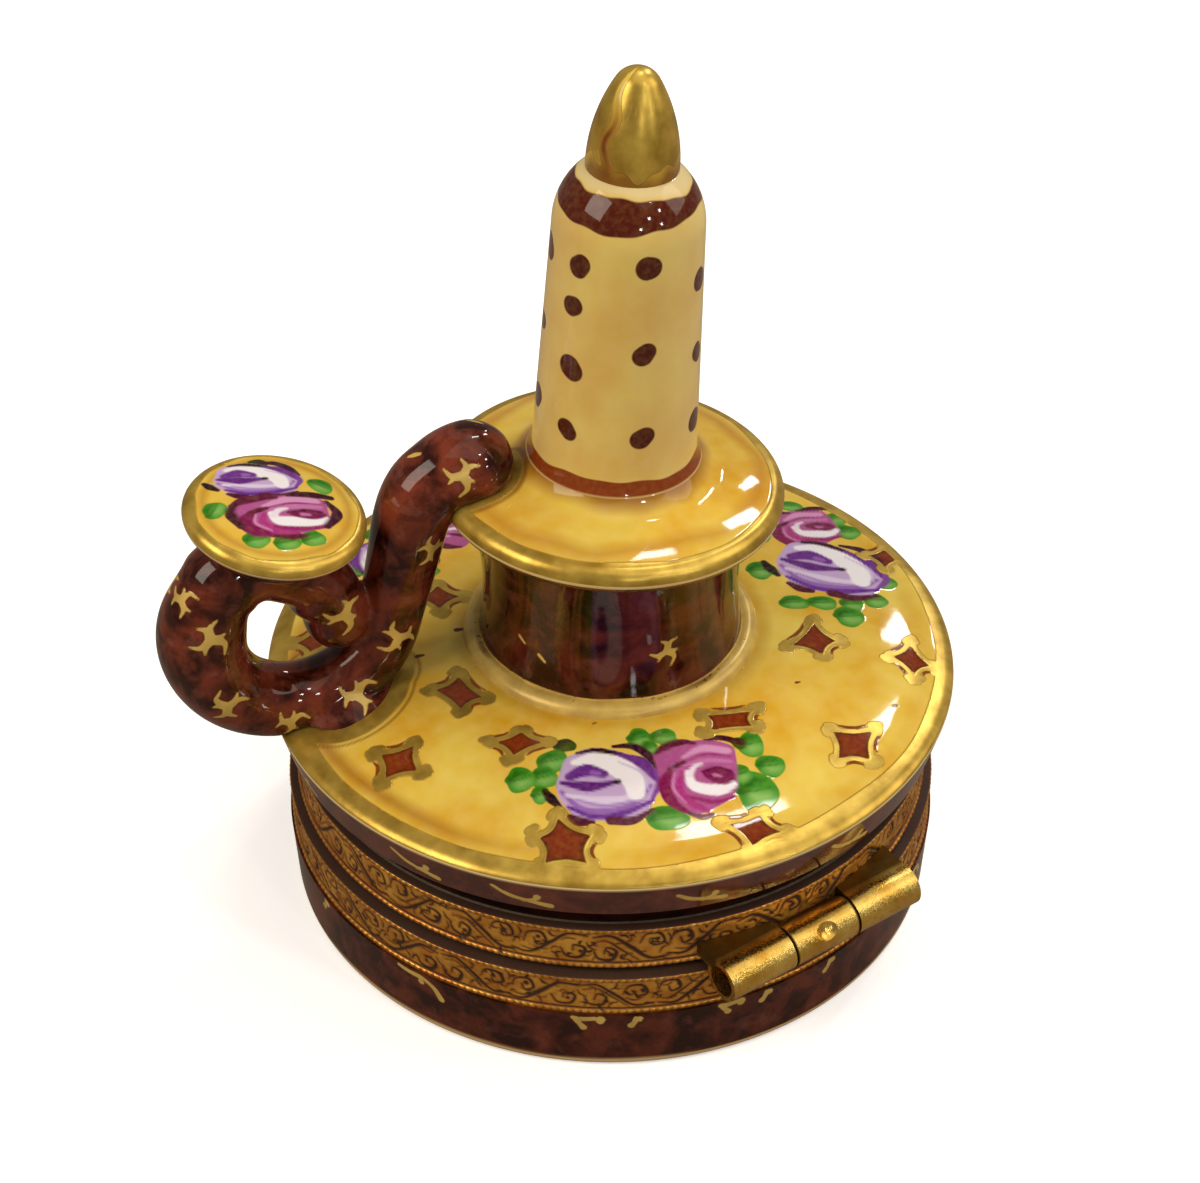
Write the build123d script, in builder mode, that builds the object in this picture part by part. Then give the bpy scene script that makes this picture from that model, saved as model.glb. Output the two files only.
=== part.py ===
"""Hinged porcelain trinket box in the shape of a chamberstick.

Units are millimetres.  The box stands on the table: Z is up, the origin is the centre of the
foot, the hinge is at the back (+Y) and the clasp at the front (-Y).  The lid carries the whole
chamberstick: a neck, a drip pan, a candle with its flame, and a scroll handle with a thumb rest.
"""

from build123d import *
from math import cos, degrees, radians, sin, tan
import os

os.makedirs("parts", exist_ok=True)

# ---------------------------------------------------------------------------------------------
# Driving dimensions
# ---------------------------------------------------------------------------------------------

# Brass bezels: each is a band round the porcelain with a flat flange over its rim
base_band_radius = 23.0
base_band_bottom = 5.1
base_band_height = 3.3
lid_band_set_in = 0.6
lid_band_height = 3.5
band_thickness = 0.5
flange_thickness = 0.5
edge_bead = 0.2
parting_gap = 0.4
lip_set_in = 0.2
lip_thickness = 0.45
lip_height = 1.2
lip_clearance = 0.35
cement_gap = 0.2

# Base bowl
bowl_proud = 0.3
bowl_wall = 3.7
bowl_floor = 2.2
bowl_corner = 3.0
foot_draw = 0.2
foot_rounding = 0.6

# Lid dish
dish_overhang = 1.6
dish_band_draw = 0.7
dish_band_height = 2.7
dish_rim_width = 2.6
dish_rim_height = 0.9
dish_recess_height = 2.3
dish_rise = 1.5
dish_crown = 0.35
dish_floor = 4.0
dish_corner = 2.6

# Chamberstick
neck_base_radius = 9.15
neck_foot_spread = 1.1
neck_foot_height = 0.7
neck_waisting = 0.35
neck_flare = 0.45
neck_height = 10.6
stick_lean = 3.4
pan_overhang = 2.0
pan_underside_rise = 0.5
pan_rim_rounding = 0.95
pan_shoulder_spread = 1.75
pan_shoulder_drop = 1.0
pan_height = 4.2
candle_base_radius = 5.45
candle_foot_spread = 0.4
candle_foot_height = 1.4
candle_taper = 0.6
candle_height = 17.0
candle_shoulder_height = 3.9
candle_shoulder_turn = 52.0
flame_side_radius = 11.6
flame_side_turn = 30.0

# Scroll handle: its centre line is a chain of tangent arcs in one upright plane
handle_azimuth = -12.0
handle_side_offset = -1.9
crest_inset = 2.35
crest_lift = 0.2
crest_radius = 4.4
crest_turn = 76.0
root_press = 1.57
loop_radius = 6.6
loop_over_turn = 42.0
eye_radius = 2.9
eye_turn = 71.0
tail_radius = 7.1
tail_turn = 60.0
crest_rope_radius = 2.95
stem_top_rope_radius = 2.55
stem_rope_radius = 2.2
root_rope_radius = 2.45
loop_rope_radius = 2.95
eye_rope_radius = 2.75
tail_rope_radius = 2.25

# Spread foot where the scroll was pressed on to the dish
spread_length = 8.6
spread_width = 8.4
spread_inset = 2.8
spread_height = 1.7
spread_slope = 45.0

# Thumb rest
thumb_radius = 5.95
thumb_crown = 0.45
thumb_rim_rounding = 0.75
thumb_stalk_radius = 2.6
thumb_seat_depth = 2.55
thumb_inset = 1.85
thumb_above_rope = 0.45
thumb_side_tilt = 6.5
thumb_inward_tilt = 10.0

# Hinge
barrel_radius = 1.45
barrel_length = 15.8
barrel_proud = 0.65
barrel_above_lid_edge = 0.2
knuckle_gap = 0.15
relief_clearance = 0.15
web_thickness = 1.15
web_reach = 4.0
pin_radius = 1.05
pin_running_clearance = 0.05
pin_recess = 1.6
dent_radius = 1.2
dent_depth = 0.32
dent_angle = 40.0

# Clasp
clasp_half_width = 3.5
clasp_half_height = 3.0
clasp_thickness = 0.8
clasp_rounding = 0.3
clasp_centre_rise = 0.1
clasp_clearance = 0.12
nose_width = 3.0
nose_height = 0.5
nose_depth = 0.35
catch_width = 5.0
catch_height = 0.8
catch_depth = 0.35
catch_below_rim = 0.7

# ---------------------------------------------------------------------------------------------
# Heights and radii that follow from them
# ---------------------------------------------------------------------------------------------

bowl_radius = base_band_radius + bowl_proud
bowl_bore_radius = bowl_radius - bowl_wall
foot_radius = bowl_radius - foot_draw
base_top = base_band_bottom + base_band_height
base_rim_radius = base_band_radius - band_thickness - cement_gap
base_rim_top = base_top - flange_thickness - cement_gap
lip_bore_radius = bowl_bore_radius - lip_set_in
lip_radius = lip_bore_radius + lip_thickness

lid_band_radius = base_band_radius - lid_band_set_in
lid_bottom = base_top + parting_gap
lid_band_top = lid_bottom + lid_band_height
lid_rim_radius = lid_band_radius - band_thickness - cement_gap
lid_rim_bottom = lid_bottom + flange_thickness + cement_gap
lid_bore_radius = lip_radius + lip_clearance

dish_radius = lid_band_radius + dish_overhang
dish_band_radius = dish_radius - dish_band_draw
dish_band_bottom = lid_band_top + dish_recess_height
dish_band_top = dish_band_bottom + dish_band_height
dish_rim_top = dish_band_top + dish_rim_height
dish_top = dish_rim_top + dish_rise
dish_ceiling = dish_top - dish_floor

neck_foot_radius = neck_base_radius + neck_foot_spread
neck_waist_radius = neck_base_radius - neck_waisting
neck_top_radius = neck_base_radius + neck_flare
neck_top = dish_top + neck_height
pan_radius = neck_top_radius + pan_overhang
candle_foot_radius = candle_base_radius + candle_foot_spread
candle_top_radius = candle_base_radius - candle_taper
pan_shoulder_radius = candle_foot_radius + pan_shoulder_spread
pan_shoulder_height = pan_height - pan_shoulder_drop
candle_top = pan_height + candle_height

# The handle's stem fills what is left between its crest on the pan and its root on the dish
crest_height = neck_top + pan_height + crest_lift
root_height = dish_rim_top + root_rope_radius - root_press
stem_drop = crest_height - root_height - (crest_radius + loop_radius) * (1 - cos(radians(crest_turn)))
stem_length = stem_drop / sin(radians(crest_turn))

hinge_y = base_band_radius + barrel_proud
hinge_z = lid_bottom + barrel_above_lid_edge
knuckle_length = (barrel_length - 2 * knuckle_gap) / 3
knuckle_bore_radius = pin_radius + pin_running_clearance
relief_radius = barrel_radius + relief_clearance

catch_top = base_top - catch_below_rim
catch_bottom = catch_top - catch_height
catch_radius = base_band_radius + catch_depth
clasp_nose_face = catch_radius + clasp_clearance
clasp_back_face = clasp_nose_face + nose_depth
clasp_centre = lid_bottom + clasp_centre_rise

# ---------------------------------------------------------------------------------------------
# Working planes
# ---------------------------------------------------------------------------------------------

# The handle's upright plane: local X runs outward, local Y runs up
handle_out = Vector(cos(radians(handle_azimuth)), sin(radians(handle_azimuth)), 0)
handle_side = Vector(-handle_out.Y, handle_out.X, 0)
handle_plane = Plane(handle_side * handle_side_offset, x_dir=handle_out, z_dir=-handle_side)

# The pan and the candle were luted on with a slight lean, away from the handle
stick_direction = Vector(0, 0, 1) * cos(radians(stick_lean)) - handle_out * sin(radians(stick_lean))
stick_plane = Plane((0, 0, neck_top), z_dir=stick_direction)
stick_axis = Axis(stick_plane.origin, stick_plane.z_dir)
stick_section = Plane(stick_plane.origin, x_dir=stick_plane.x_dir, z_dir=-stick_plane.y_dir)

# The hinge axis runs along X behind the parting line: local X is +Y here, local Y is up
hinge_plane = Plane((0, hinge_y, hinge_z), x_dir=(0, 1, 0), z_dir=(1, 0, 0))

# ---------------------------------------------------------------------------------------------
# Base bowl: slip-cast porcelain with a flat foot and a rebated rim
# ---------------------------------------------------------------------------------------------

with BuildPart() as base_bowl:
    with BuildSketch(Plane.XZ):
        with BuildLine():
            foot = Line((0, 0), (foot_radius - foot_rounding, 0))
            heel = JernArc(foot @ 1, foot % 1, foot_rounding, 90)
            side = Line(heel @ 1, (bowl_radius, base_band_bottom))
            ledge = Line(side @ 1, (base_rim_radius, base_band_bottom))
            rebate = Line(ledge @ 1, (base_rim_radius, base_rim_top))
            rim = Line(rebate @ 1, (bowl_bore_radius, base_rim_top))
            wall = Line(rim @ 1, (bowl_bore_radius, bowl_floor + bowl_corner))
            corner = JernArc(wall @ 1, wall % 1, bowl_corner, -90)
            floor = Line(corner @ 1, (0, bowl_floor))
            Line(floor @ 1, foot @ 0)
        make_face()
    revolve(axis=Axis.Z)

base_bowl.part.label = "base_bowl"
export_step(base_bowl.part, "parts/base_bowl.step")

# ---------------------------------------------------------------------------------------------
# Base bezel: a band, a flange over the rim and the raised lip that locates the lid
# ---------------------------------------------------------------------------------------------

with BuildPart() as base_bezel:
    with BuildSketch(Plane.XZ):
        with Locations((base_band_radius, base_top)):
            Rectangle(band_thickness, base_band_height, align=(Align.MAX, Align.MAX))
            Rectangle(
                base_band_radius - lip_bore_radius, flange_thickness, align=(Align.MAX, Align.MAX)
            )
        with Locations((lip_bore_radius, base_top - flange_thickness)):
            Rectangle(lip_thickness, flange_thickness + lip_height, align=(Align.MIN, Align.MIN))
        with Locations(
            (base_band_radius, base_band_bottom + edge_bead),
            (base_band_radius, base_top - edge_bead),
        ):
            Circle(edge_bead)
    revolve(axis=Axis.Z)
    # The back is filed hollow: a close seat for its own knuckle, running room for the outer two
    with BuildSketch(hinge_plane):
        Circle(barrel_radius)
    extrude(amount=knuckle_length / 2, both=True, mode=Mode.SUBTRACT)
    for side in (-1, 1):
        with BuildSketch(hinge_plane.offset(side * knuckle_length / 2)):
            Circle(relief_radius)
        extrude(amount=side * (knuckle_length + 2 * knuckle_gap), mode=Mode.SUBTRACT)

base_bezel.part.label = "base_bezel"
export_step(base_bezel.part, "parts/base_bezel.step")

# ---------------------------------------------------------------------------------------------
# Base cement: the thin bead that bonds the bezel to the porcelain rim
# ---------------------------------------------------------------------------------------------

with BuildPart() as base_cement:
    with BuildSketch(Plane.XZ):
        with Locations((base_rim_radius + cement_gap, base_rim_top + cement_gap)):
            Rectangle(
                cement_gap, base_rim_top + cement_gap - base_band_bottom, align=(Align.MAX, Align.MAX)
            )
            Rectangle(
                base_rim_radius + cement_gap - bowl_bore_radius,
                cement_gap,
                align=(Align.MAX, Align.MAX),
            )
    revolve(axis=Axis.Z)

base_cement.part.label = "base_cement"
export_step(base_cement.part, "parts/base_cement.step")

# ---------------------------------------------------------------------------------------------
# Catch: a half-round bar soldered across the front of the base band
# ---------------------------------------------------------------------------------------------

catch_arc = degrees(catch_width / base_band_radius)
catch_section = Plane.XZ.rotated((0, 0, -90 - catch_arc / 2), ordering=Extrinsic.XYZ)

with BuildPart() as catch_bar:
    with BuildSketch(catch_section):
        with Locations((base_band_radius, (catch_top + catch_bottom) / 2)):
            Rectangle(catch_depth, catch_height, align=(Align.MIN, Align.CENTER))
    revolve(axis=Axis.Z, revolution_arc=catch_arc)
    outer_edges = catch_bar.edges().filter_by(GeomType.CIRCLE).group_by(SortBy.RADIUS)[-1]
    fillet(outer_edges, catch_depth * 0.8)

catch_bar.part.label = "catch_bar"
export_step(catch_bar.part, "parts/catch_bar.step")

# ---------------------------------------------------------------------------------------------
# Lid dish: slip-cast porcelain disc, its rim overhanging the bezel
# ---------------------------------------------------------------------------------------------

with BuildPart() as lid_dish:
    with BuildSketch(Plane.XZ):
        with BuildLine():
            rim_foot = Line((lid_bore_radius, lid_rim_bottom), (lid_rim_radius, lid_rim_bottom))
            waist = Line(rim_foot @ 1, (lid_rim_radius, dish_band_bottom))
            underside = Line(waist @ 1, (dish_band_radius, dish_band_bottom))
            band = Line(underside @ 1, (dish_radius, dish_band_top))
            rolled = EllipticalCenterArc(
                (dish_radius - dish_rim_width, dish_band_top),
                dish_rim_width,
                dish_rim_height,
                arc_size=90,
            )
            top = SagittaArc(rolled @ 1, (neck_foot_radius, dish_top), dish_crown)
            seat = Line(top @ 1, (0, dish_top))
            axis_line = Line(seat @ 1, (0, dish_ceiling))
            ceiling = Line(axis_line @ 1, (lid_bore_radius - dish_corner, dish_ceiling))
            cove = JernArc(ceiling @ 1, ceiling % 1, dish_corner, -90)
            Line(cove @ 1, rim_foot @ 0)
        make_face()
    revolve(axis=Axis.Z)

lid_dish.part.label = "lid_dish"
export_step(lid_dish.part, "parts/lid_dish.step")

# ---------------------------------------------------------------------------------------------
# Lid bezel: a band and a flange that sits round the base's lip
# ---------------------------------------------------------------------------------------------

with BuildPart() as lid_bezel:
    with BuildSketch(Plane.XZ):
        with Locations((lid_band_radius, lid_bottom)):
            Rectangle(band_thickness, lid_band_height, align=(Align.MAX, Align.MIN))
            Rectangle(
                lid_band_radius - lid_bore_radius, flange_thickness, align=(Align.MAX, Align.MIN)
            )
        with Locations(
            (lid_band_radius, lid_bottom + edge_bead),
            (lid_band_radius, lid_band_top - edge_bead),
        ):
            Circle(edge_bead)
    revolve(axis=Axis.Z)
    with BuildSketch(hinge_plane):
        Circle(relief_radius)
    extrude(amount=barrel_length / 2, both=True, mode=Mode.SUBTRACT)

lid_bezel.part.label = "lid_bezel"
export_step(lid_bezel.part, "parts/lid_bezel.step")

# ---------------------------------------------------------------------------------------------
# Lid cement
# ---------------------------------------------------------------------------------------------

with BuildPart() as lid_cement:
    with BuildSketch(Plane.XZ):
        with Locations((lid_rim_radius + cement_gap, lid_rim_bottom - cement_gap)):
            Rectangle(
                cement_gap, lid_band_top - lid_rim_bottom + cement_gap, align=(Align.MAX, Align.MIN)
            )
            Rectangle(
                lid_rim_radius + cement_gap - lid_bore_radius,
                cement_gap,
                align=(Align.MAX, Align.MIN),
            )
    revolve(axis=Axis.Z)

lid_cement.part.label = "lid_cement"
export_step(lid_cement.part, "parts/lid_cement.step")

# ---------------------------------------------------------------------------------------------
# Neck: waisted socket on a moulded foot, cut off square to the leaning stick
# ---------------------------------------------------------------------------------------------

neck_trim = neck_top_radius * sin(radians(stick_lean))

with BuildPart() as neck:
    with BuildSketch(Plane.XZ):
        with BuildLine():
            foot = Line((0, dish_top), (neck_foot_radius, dish_top))
            moulding = ThreePointArc(
                foot @ 1,
                (neck_foot_radius - neck_foot_height * 0.25, dish_top + neck_foot_height * 0.65),
                (neck_base_radius, dish_top + neck_foot_height),
            )
            wall = ThreePointArc(
                moulding @ 1,
                (neck_waist_radius, dish_top + neck_height / 2),
                (neck_top_radius, neck_top),
            )
            collar = Line(wall @ 1, (neck_top_radius, neck_top + neck_trim))
            crown = Line(collar @ 1, (0, neck_top + neck_trim))
            Line(crown @ 1, foot @ 0)
        make_face()
    revolve(axis=Axis.Z)
    split(bisect_by=stick_plane, keep=Keep.BOTTOM)

neck.part.label = "neck"
export_step(neck.part, "parts/neck.step")

# ---------------------------------------------------------------------------------------------
# Drip pan: shallow saucer with a rolled rim and a swept-up centre
# ---------------------------------------------------------------------------------------------

with BuildPart() as drip_pan:
    with BuildSketch(stick_section):
        with BuildLine():
            seat = Line((0, 0), (neck_top_radius, 0))
            rim_inner = pan_radius - pan_rim_rounding
            underside = Line(seat @ 1, (rim_inner, pan_underside_rise))
            rim = ThreePointArc(
                underside @ 1,
                (pan_radius, pan_underside_rise + pan_rim_rounding),
                (rim_inner, pan_underside_rise + 2 * pan_rim_rounding),
            )
            dome = TangentArc(
                rim @ 1, (pan_shoulder_radius, pan_shoulder_height), tangent=(-4, 1.4)
            )
            flare = TangentArc(dome @ 1, (candle_foot_radius, pan_height), tangent=dome % 1)
            top = Line(flare @ 1, (0, pan_height))
            Line(top @ 1, seat @ 0)
        make_face()
    revolve(axis=stick_axis)

drip_pan.part.label = "drip_pan"
export_step(drip_pan.part, "parts/drip_pan.step")

# ---------------------------------------------------------------------------------------------
# Candle: tapering, with a spread foot and a rounded shoulder
# ---------------------------------------------------------------------------------------------

with BuildPart() as candle:
    with BuildSketch(stick_section):
        with BuildLine():
            foot = Line((0, pan_height), (candle_foot_radius, pan_height))
            spread = TangentArc(
                foot @ 1, (candle_base_radius, pan_height + candle_foot_height), tangent=(-0.6, 1)
            )
            side = Line(spread @ 1, (candle_top_radius, candle_top))
            shoulder_radius = candle_shoulder_height / sin(radians(candle_shoulder_turn))
            shoulder = JernArc(side @ 1, (0, 1), shoulder_radius, candle_shoulder_turn)
            tip = Line(shoulder @ 1, (0, (shoulder @ 1).Y))
            Line(tip @ 1, foot @ 0)
        make_face()
    revolve(axis=stick_axis)

candle.part.label = "candle"
export_step(candle.part, "parts/candle.step")

# ---------------------------------------------------------------------------------------------
# Flame: a blunt ogive on the candle's shoulder
# ---------------------------------------------------------------------------------------------

flame_radius = (shoulder @ 1).X
flame_base = (shoulder @ 1).Y

with BuildPart() as flame:
    with BuildSketch(stick_section):
        with BuildLine():
            base = Line((0, flame_base), (flame_radius, flame_base))
            side = JernArc(base @ 1, (0, 1), flame_side_radius, flame_side_turn)
            tip_radius = (side @ 1).X / cos(radians(flame_side_turn))
            tip = JernArc(side @ 1, side % 1, tip_radius, 90 - flame_side_turn)
            Line(tip @ 1, base @ 0)
        make_face()
    revolve(axis=stick_axis)

flame.part.label = "flame"
export_step(flame.part, "parts/flame.step")

# ---------------------------------------------------------------------------------------------
# Scroll handle: a rope of clay bent into a scroll, pressed on to the pan and the dish
# ---------------------------------------------------------------------------------------------

# Half-round ends of the rope, as degrees round the end's quarter circle
end_angles = (22, 45, 66, 84)


def rope_sections(lengths):
    """Place round sections along lengths of rope, each tapering from one radius to the next."""
    sections = []
    for length, steps, start_radius, end_radius in lengths:
        for step in range(steps):
            share = step / steps
            radius = start_radius + (end_radius - start_radius) * share
            sections.append((Plane(length ^ share), radius))
    sections.append((Plane(lengths[-1][0] ^ 1), lengths[-1][3]))
    return sections


def rounded_end(section, direction):
    """Carry a rope section on along its plane's normal to a half-round end."""
    plane, radius = section
    return [
        (plane.offset(direction * radius * sin(radians(angle))), radius * cos(radians(angle)))
        for angle in end_angles
    ]


with BuildPart() as scroll_handle:
    with BuildLine(handle_plane):
        crest = JernArc((pan_radius - crest_inset, crest_height), (1, 0), crest_radius, -crest_turn)
        stem = Line(crest @ 1, crest @ 1 + (crest % 1) * stem_length)
        low = JernArc(stem @ 1, stem % 1, loop_radius, crest_turn)
        rise = JernArc(low @ 1, low % 1, loop_radius, 90)
        over = JernArc(rise @ 1, rise % 1, loop_radius, loop_over_turn)
        eye = JernArc(over @ 1, over % 1, eye_radius, eye_turn)
        tail = JernArc(eye @ 1, eye % 1, tail_radius, tail_turn)
    curl_rope_radius = (eye_rope_radius + tail_rope_radius) / 2
    scroll_sections = rope_sections(
        (
            (crest, 4, crest_rope_radius, stem_top_rope_radius),
            (stem, 3, stem_top_rope_radius, stem_rope_radius),
            (low, 4, stem_rope_radius, root_rope_radius),
            (rise, 5, root_rope_radius, loop_rope_radius),
            (over, 2, loop_rope_radius, eye_rope_radius),
        )
    )
    scroll_start = rounded_end(scroll_sections[0], -1)
    for plane, radius in scroll_start[::-1] + scroll_sections:
        with BuildSketch(plane):
            Circle(radius)
    loft()
    # The end of the rope curls in and is pressed against the stem
    curl_sections = rope_sections(
        (
            (eye, 4, eye_rope_radius, curl_rope_radius),
            (tail, 4, curl_rope_radius, tail_rope_radius),
        )
    )
    for plane, radius in curl_sections + rounded_end(curl_sections[-1], 1):
        with BuildSketch(plane):
            Circle(radius)
    loft()
    # The clay spread where it was pressed on to the dish
    root = low @ 1 - handle_out * spread_inset
    with BuildSketch(Plane((root.X, root.Y, dish_rim_top), x_dir=handle_out)):
        Ellipse(spread_length / 2, spread_width / 2)
    extrude(amount=spread_height, taper=spread_slope)
    # The soft rope took the shape of what it was pressed on to
    add(drip_pan.part, mode=Mode.SUBTRACT)
    add(lid_dish.part, mode=Mode.SUBTRACT)

scroll_handle.part.label = "scroll_handle"
export_step(scroll_handle.part, "parts/scroll_handle.step")

# ---------------------------------------------------------------------------------------------
# Thumb rest: a crowned button on a flared stalk, set on top of the scroll
# ---------------------------------------------------------------------------------------------

loop_summit = eye @ ((90 - loop_over_turn) / eye_turn)
thumb_up = (
    Vector(0, 0, 1)
    + handle_side * tan(radians(thumb_side_tilt))
    - handle_out * tan(radians(thumb_inward_tilt))
)
thumb_plane = Plane(
    loop_summit - handle_out * thumb_inset + Vector(0, 0, eye_rope_radius + thumb_above_rope),
    x_dir=handle_out,
    z_dir=thumb_up,
)
thumb_section = Plane(thumb_plane.origin, x_dir=thumb_plane.x_dir, z_dir=-thumb_plane.y_dir)

with BuildPart() as thumb_rest:
    with BuildSketch(thumb_section):
        with BuildLine():
            rim_inner = thumb_radius - thumb_rim_rounding
            stalk_foot = -thumb_above_rope - thumb_seat_depth
            stalk = Line((0, stalk_foot), (thumb_stalk_radius, stalk_foot))
            belly = TangentArc(stalk @ 1, (rim_inner, -thumb_rim_rounding), tangent=(1, 0.3))
            rim = ThreePointArc(belly @ 1, (thumb_radius, 0), (rim_inner, thumb_rim_rounding))
            crown = TangentArc((0, thumb_rim_rounding + thumb_crown), rim @ 1, tangent=(1, 0))
            Line(crown @ 0, stalk @ 0)
        make_face()
    revolve(axis=Axis(thumb_plane.origin, thumb_plane.z_dir))
    add(scroll_handle.part, mode=Mode.SUBTRACT)

thumb_rest.part.label = "thumb_rest"
export_step(thumb_rest.part, "parts/thumb_rest.step")

# ---------------------------------------------------------------------------------------------
# Hinge: three soldered knuckles on one pin
# ---------------------------------------------------------------------------------------------

# The middle knuckle belongs to the base; a punched dent in it grips the pin
with BuildPart() as hinge_knuckle_base:
    with BuildSketch(hinge_plane):
        with Locations((-web_reach, base_top - hinge_z)):
            Rectangle(
                web_reach, barrel_radius + base_top - hinge_z, align=(Align.MIN, Align.MAX)
            )
    extrude(amount=knuckle_length / 2, both=True)
    with BuildSketch(Plane.XY):
        Circle(base_band_radius)
    extrude(amount=base_top, mode=Mode.SUBTRACT)
    add(base_bezel.part, mode=Mode.SUBTRACT)
    with BuildSketch(hinge_plane):
        Circle(barrel_radius)
    extrude(amount=knuckle_length / 2, both=True)
    with BuildSketch(hinge_plane):
        Circle(pin_radius)
    extrude(amount=knuckle_length / 2, both=True, mode=Mode.SUBTRACT)
    dent_reach = barrel_radius + dent_radius - dent_depth
    dent_out = dent_reach * cos(radians(dent_angle))
    dent_up = dent_reach * sin(radians(dent_angle))
    with Locations((0, hinge_y + dent_out, hinge_z + dent_up)):
        Sphere(dent_radius, mode=Mode.SUBTRACT)

hinge_knuckle_base.part.label = "hinge_knuckle_base"
export_step(hinge_knuckle_base.part, "parts/hinge_knuckle_base.step")

# The outer two belong to the lid; they turn on the pin
with BuildPart() as hinge_knuckle_right:
    outer_knuckle_plane = hinge_plane.offset(knuckle_length / 2 + knuckle_gap)
    with BuildSketch(outer_knuckle_plane):
        with Locations((-web_reach, barrel_radius)):
            Rectangle(web_reach, web_thickness, align=(Align.MIN, Align.MAX))
    extrude(amount=knuckle_length)
    with BuildSketch(Plane.XY):
        Circle(lid_band_radius)
    extrude(amount=lid_band_top, mode=Mode.SUBTRACT)
    add(lid_bezel.part, mode=Mode.SUBTRACT)
    with BuildSketch(outer_knuckle_plane):
        Circle(barrel_radius)
    extrude(amount=knuckle_length)
    with BuildSketch(outer_knuckle_plane):
        Circle(knuckle_bore_radius)
    extrude(amount=knuckle_length, mode=Mode.SUBTRACT)

hinge_knuckle_right.part.label = "hinge_knuckle_right"
export_step(hinge_knuckle_right.part, "parts/hinge_knuckle_right.step")

with BuildPart() as hinge_knuckle_left:
    mirror(hinge_knuckle_right.part, about=Plane.YZ)

hinge_knuckle_left.part.label = "hinge_knuckle_left"
export_step(hinge_knuckle_left.part, "parts/hinge_knuckle_left.step")

with BuildPart() as hinge_pin:
    with BuildSketch(hinge_plane):
        Circle(pin_radius)
    extrude(amount=barrel_length / 2 - pin_recess, both=True)

hinge_pin.part.label = "hinge_pin"
export_step(hinge_pin.part, "parts/hinge_pin.step")

# ---------------------------------------------------------------------------------------------
# Clasp: an oval tab soldered to the lid band, with a nose that hooks under the catch bar
# ---------------------------------------------------------------------------------------------

with BuildPart() as clasp:
    with BuildSketch(Plane.XZ.offset(clasp_back_face)):
        with Locations((0, clasp_centre)):
            Ellipse(clasp_half_width, clasp_half_height)
    extrude(amount=clasp_thickness)
    fillet(clasp.faces().sort_by(Axis.Y)[0].edges(), clasp_rounding)
    # Solder pad between the upper half of the tab and the lid band, cut to the band's profile
    with BuildSketch(Plane.XZ.offset(clasp_back_face)):
        with Locations((0, clasp_centre)):
            Ellipse(clasp_half_width, clasp_half_height)
        with Locations((0, lid_bottom + clasp_clearance)):
            Rectangle(
                2 * clasp_half_width,
                clasp_half_height * 2,
                align=(Align.CENTER, Align.MIN),
                mode=Mode.INTERSECT,
            )
    extrude(amount=lid_rim_radius - clasp_back_face)
    with BuildSketch(Plane.XZ):
        with Locations((0, lid_bottom)):
            Rectangle(lid_band_radius, lid_band_height, align=(Align.MIN, Align.MIN))
        with Locations((lid_band_radius, lid_bottom + edge_bead)):
            Circle(edge_bead)
    revolve(axis=Axis.Z, mode=Mode.SUBTRACT)
    with BuildSketch(Plane.XZ.offset(clasp_back_face)):
        with Locations((0, catch_bottom - clasp_clearance)):
            Rectangle(nose_width, nose_height, align=(Align.CENTER, Align.MAX))
    extrude(amount=-nose_depth)

clasp.part.label = "clasp"
export_step(clasp.part, "parts/clasp.step")
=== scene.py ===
"""Dressed model of a hinged porcelain trinket box in the shape of a chamberstick.

The box is slip-cast porcelain under yellow and brown glazes, painted over the glaze with roses,
lozenges and gold, and mounted in engraved gilt brass.  Sizes are millimetres in the classes and
metres in Blender.
"""

import logging
import math
import random
from dataclasses import dataclass
from enum import Enum

import bpy
import numpy as np
from mathutils import Matrix, Vector, noise
from mathutils.bvhtree import BVHTree


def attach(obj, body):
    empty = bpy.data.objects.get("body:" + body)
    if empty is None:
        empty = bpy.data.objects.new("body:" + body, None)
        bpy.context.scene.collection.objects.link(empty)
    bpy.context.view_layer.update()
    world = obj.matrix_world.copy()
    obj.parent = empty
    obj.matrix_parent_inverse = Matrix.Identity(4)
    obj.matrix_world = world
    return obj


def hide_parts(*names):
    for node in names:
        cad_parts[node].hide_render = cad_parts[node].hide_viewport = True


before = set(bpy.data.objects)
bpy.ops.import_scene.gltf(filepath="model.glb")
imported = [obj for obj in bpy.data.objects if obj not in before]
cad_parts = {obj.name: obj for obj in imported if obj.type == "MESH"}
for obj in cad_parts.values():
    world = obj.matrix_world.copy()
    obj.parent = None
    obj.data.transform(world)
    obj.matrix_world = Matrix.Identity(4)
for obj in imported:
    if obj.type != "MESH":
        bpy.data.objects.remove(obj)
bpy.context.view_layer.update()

LOG = logging.getLogger("trinket_box")

MM = 0.001
TINY = 1e-9
VIEW_TURN = 145.0  # the charts' own "right", in degrees round the upright axis
HANDLE_AZIMUTH = -12.0  # where the handle stands, in degrees

# The hinge, in millimetres: its axis, the room filed for its barrel and half its middle knuckle
HINGE_Y = 23.65
HINGE_Z = 9.0
HINGE_RELIEF = 1.6
HINGE_REACH = 8.0
KNUCKLE_HALF = 5.1667 / 2

Point = tuple[float, float]
Strokes = tuple[tuple[Point, ...], ...]


# ---- Small helpers ----


class Body(Enum):
    """The two halves that turn on the hinge."""

    BASE = "base"
    LID = "lid"


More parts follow.
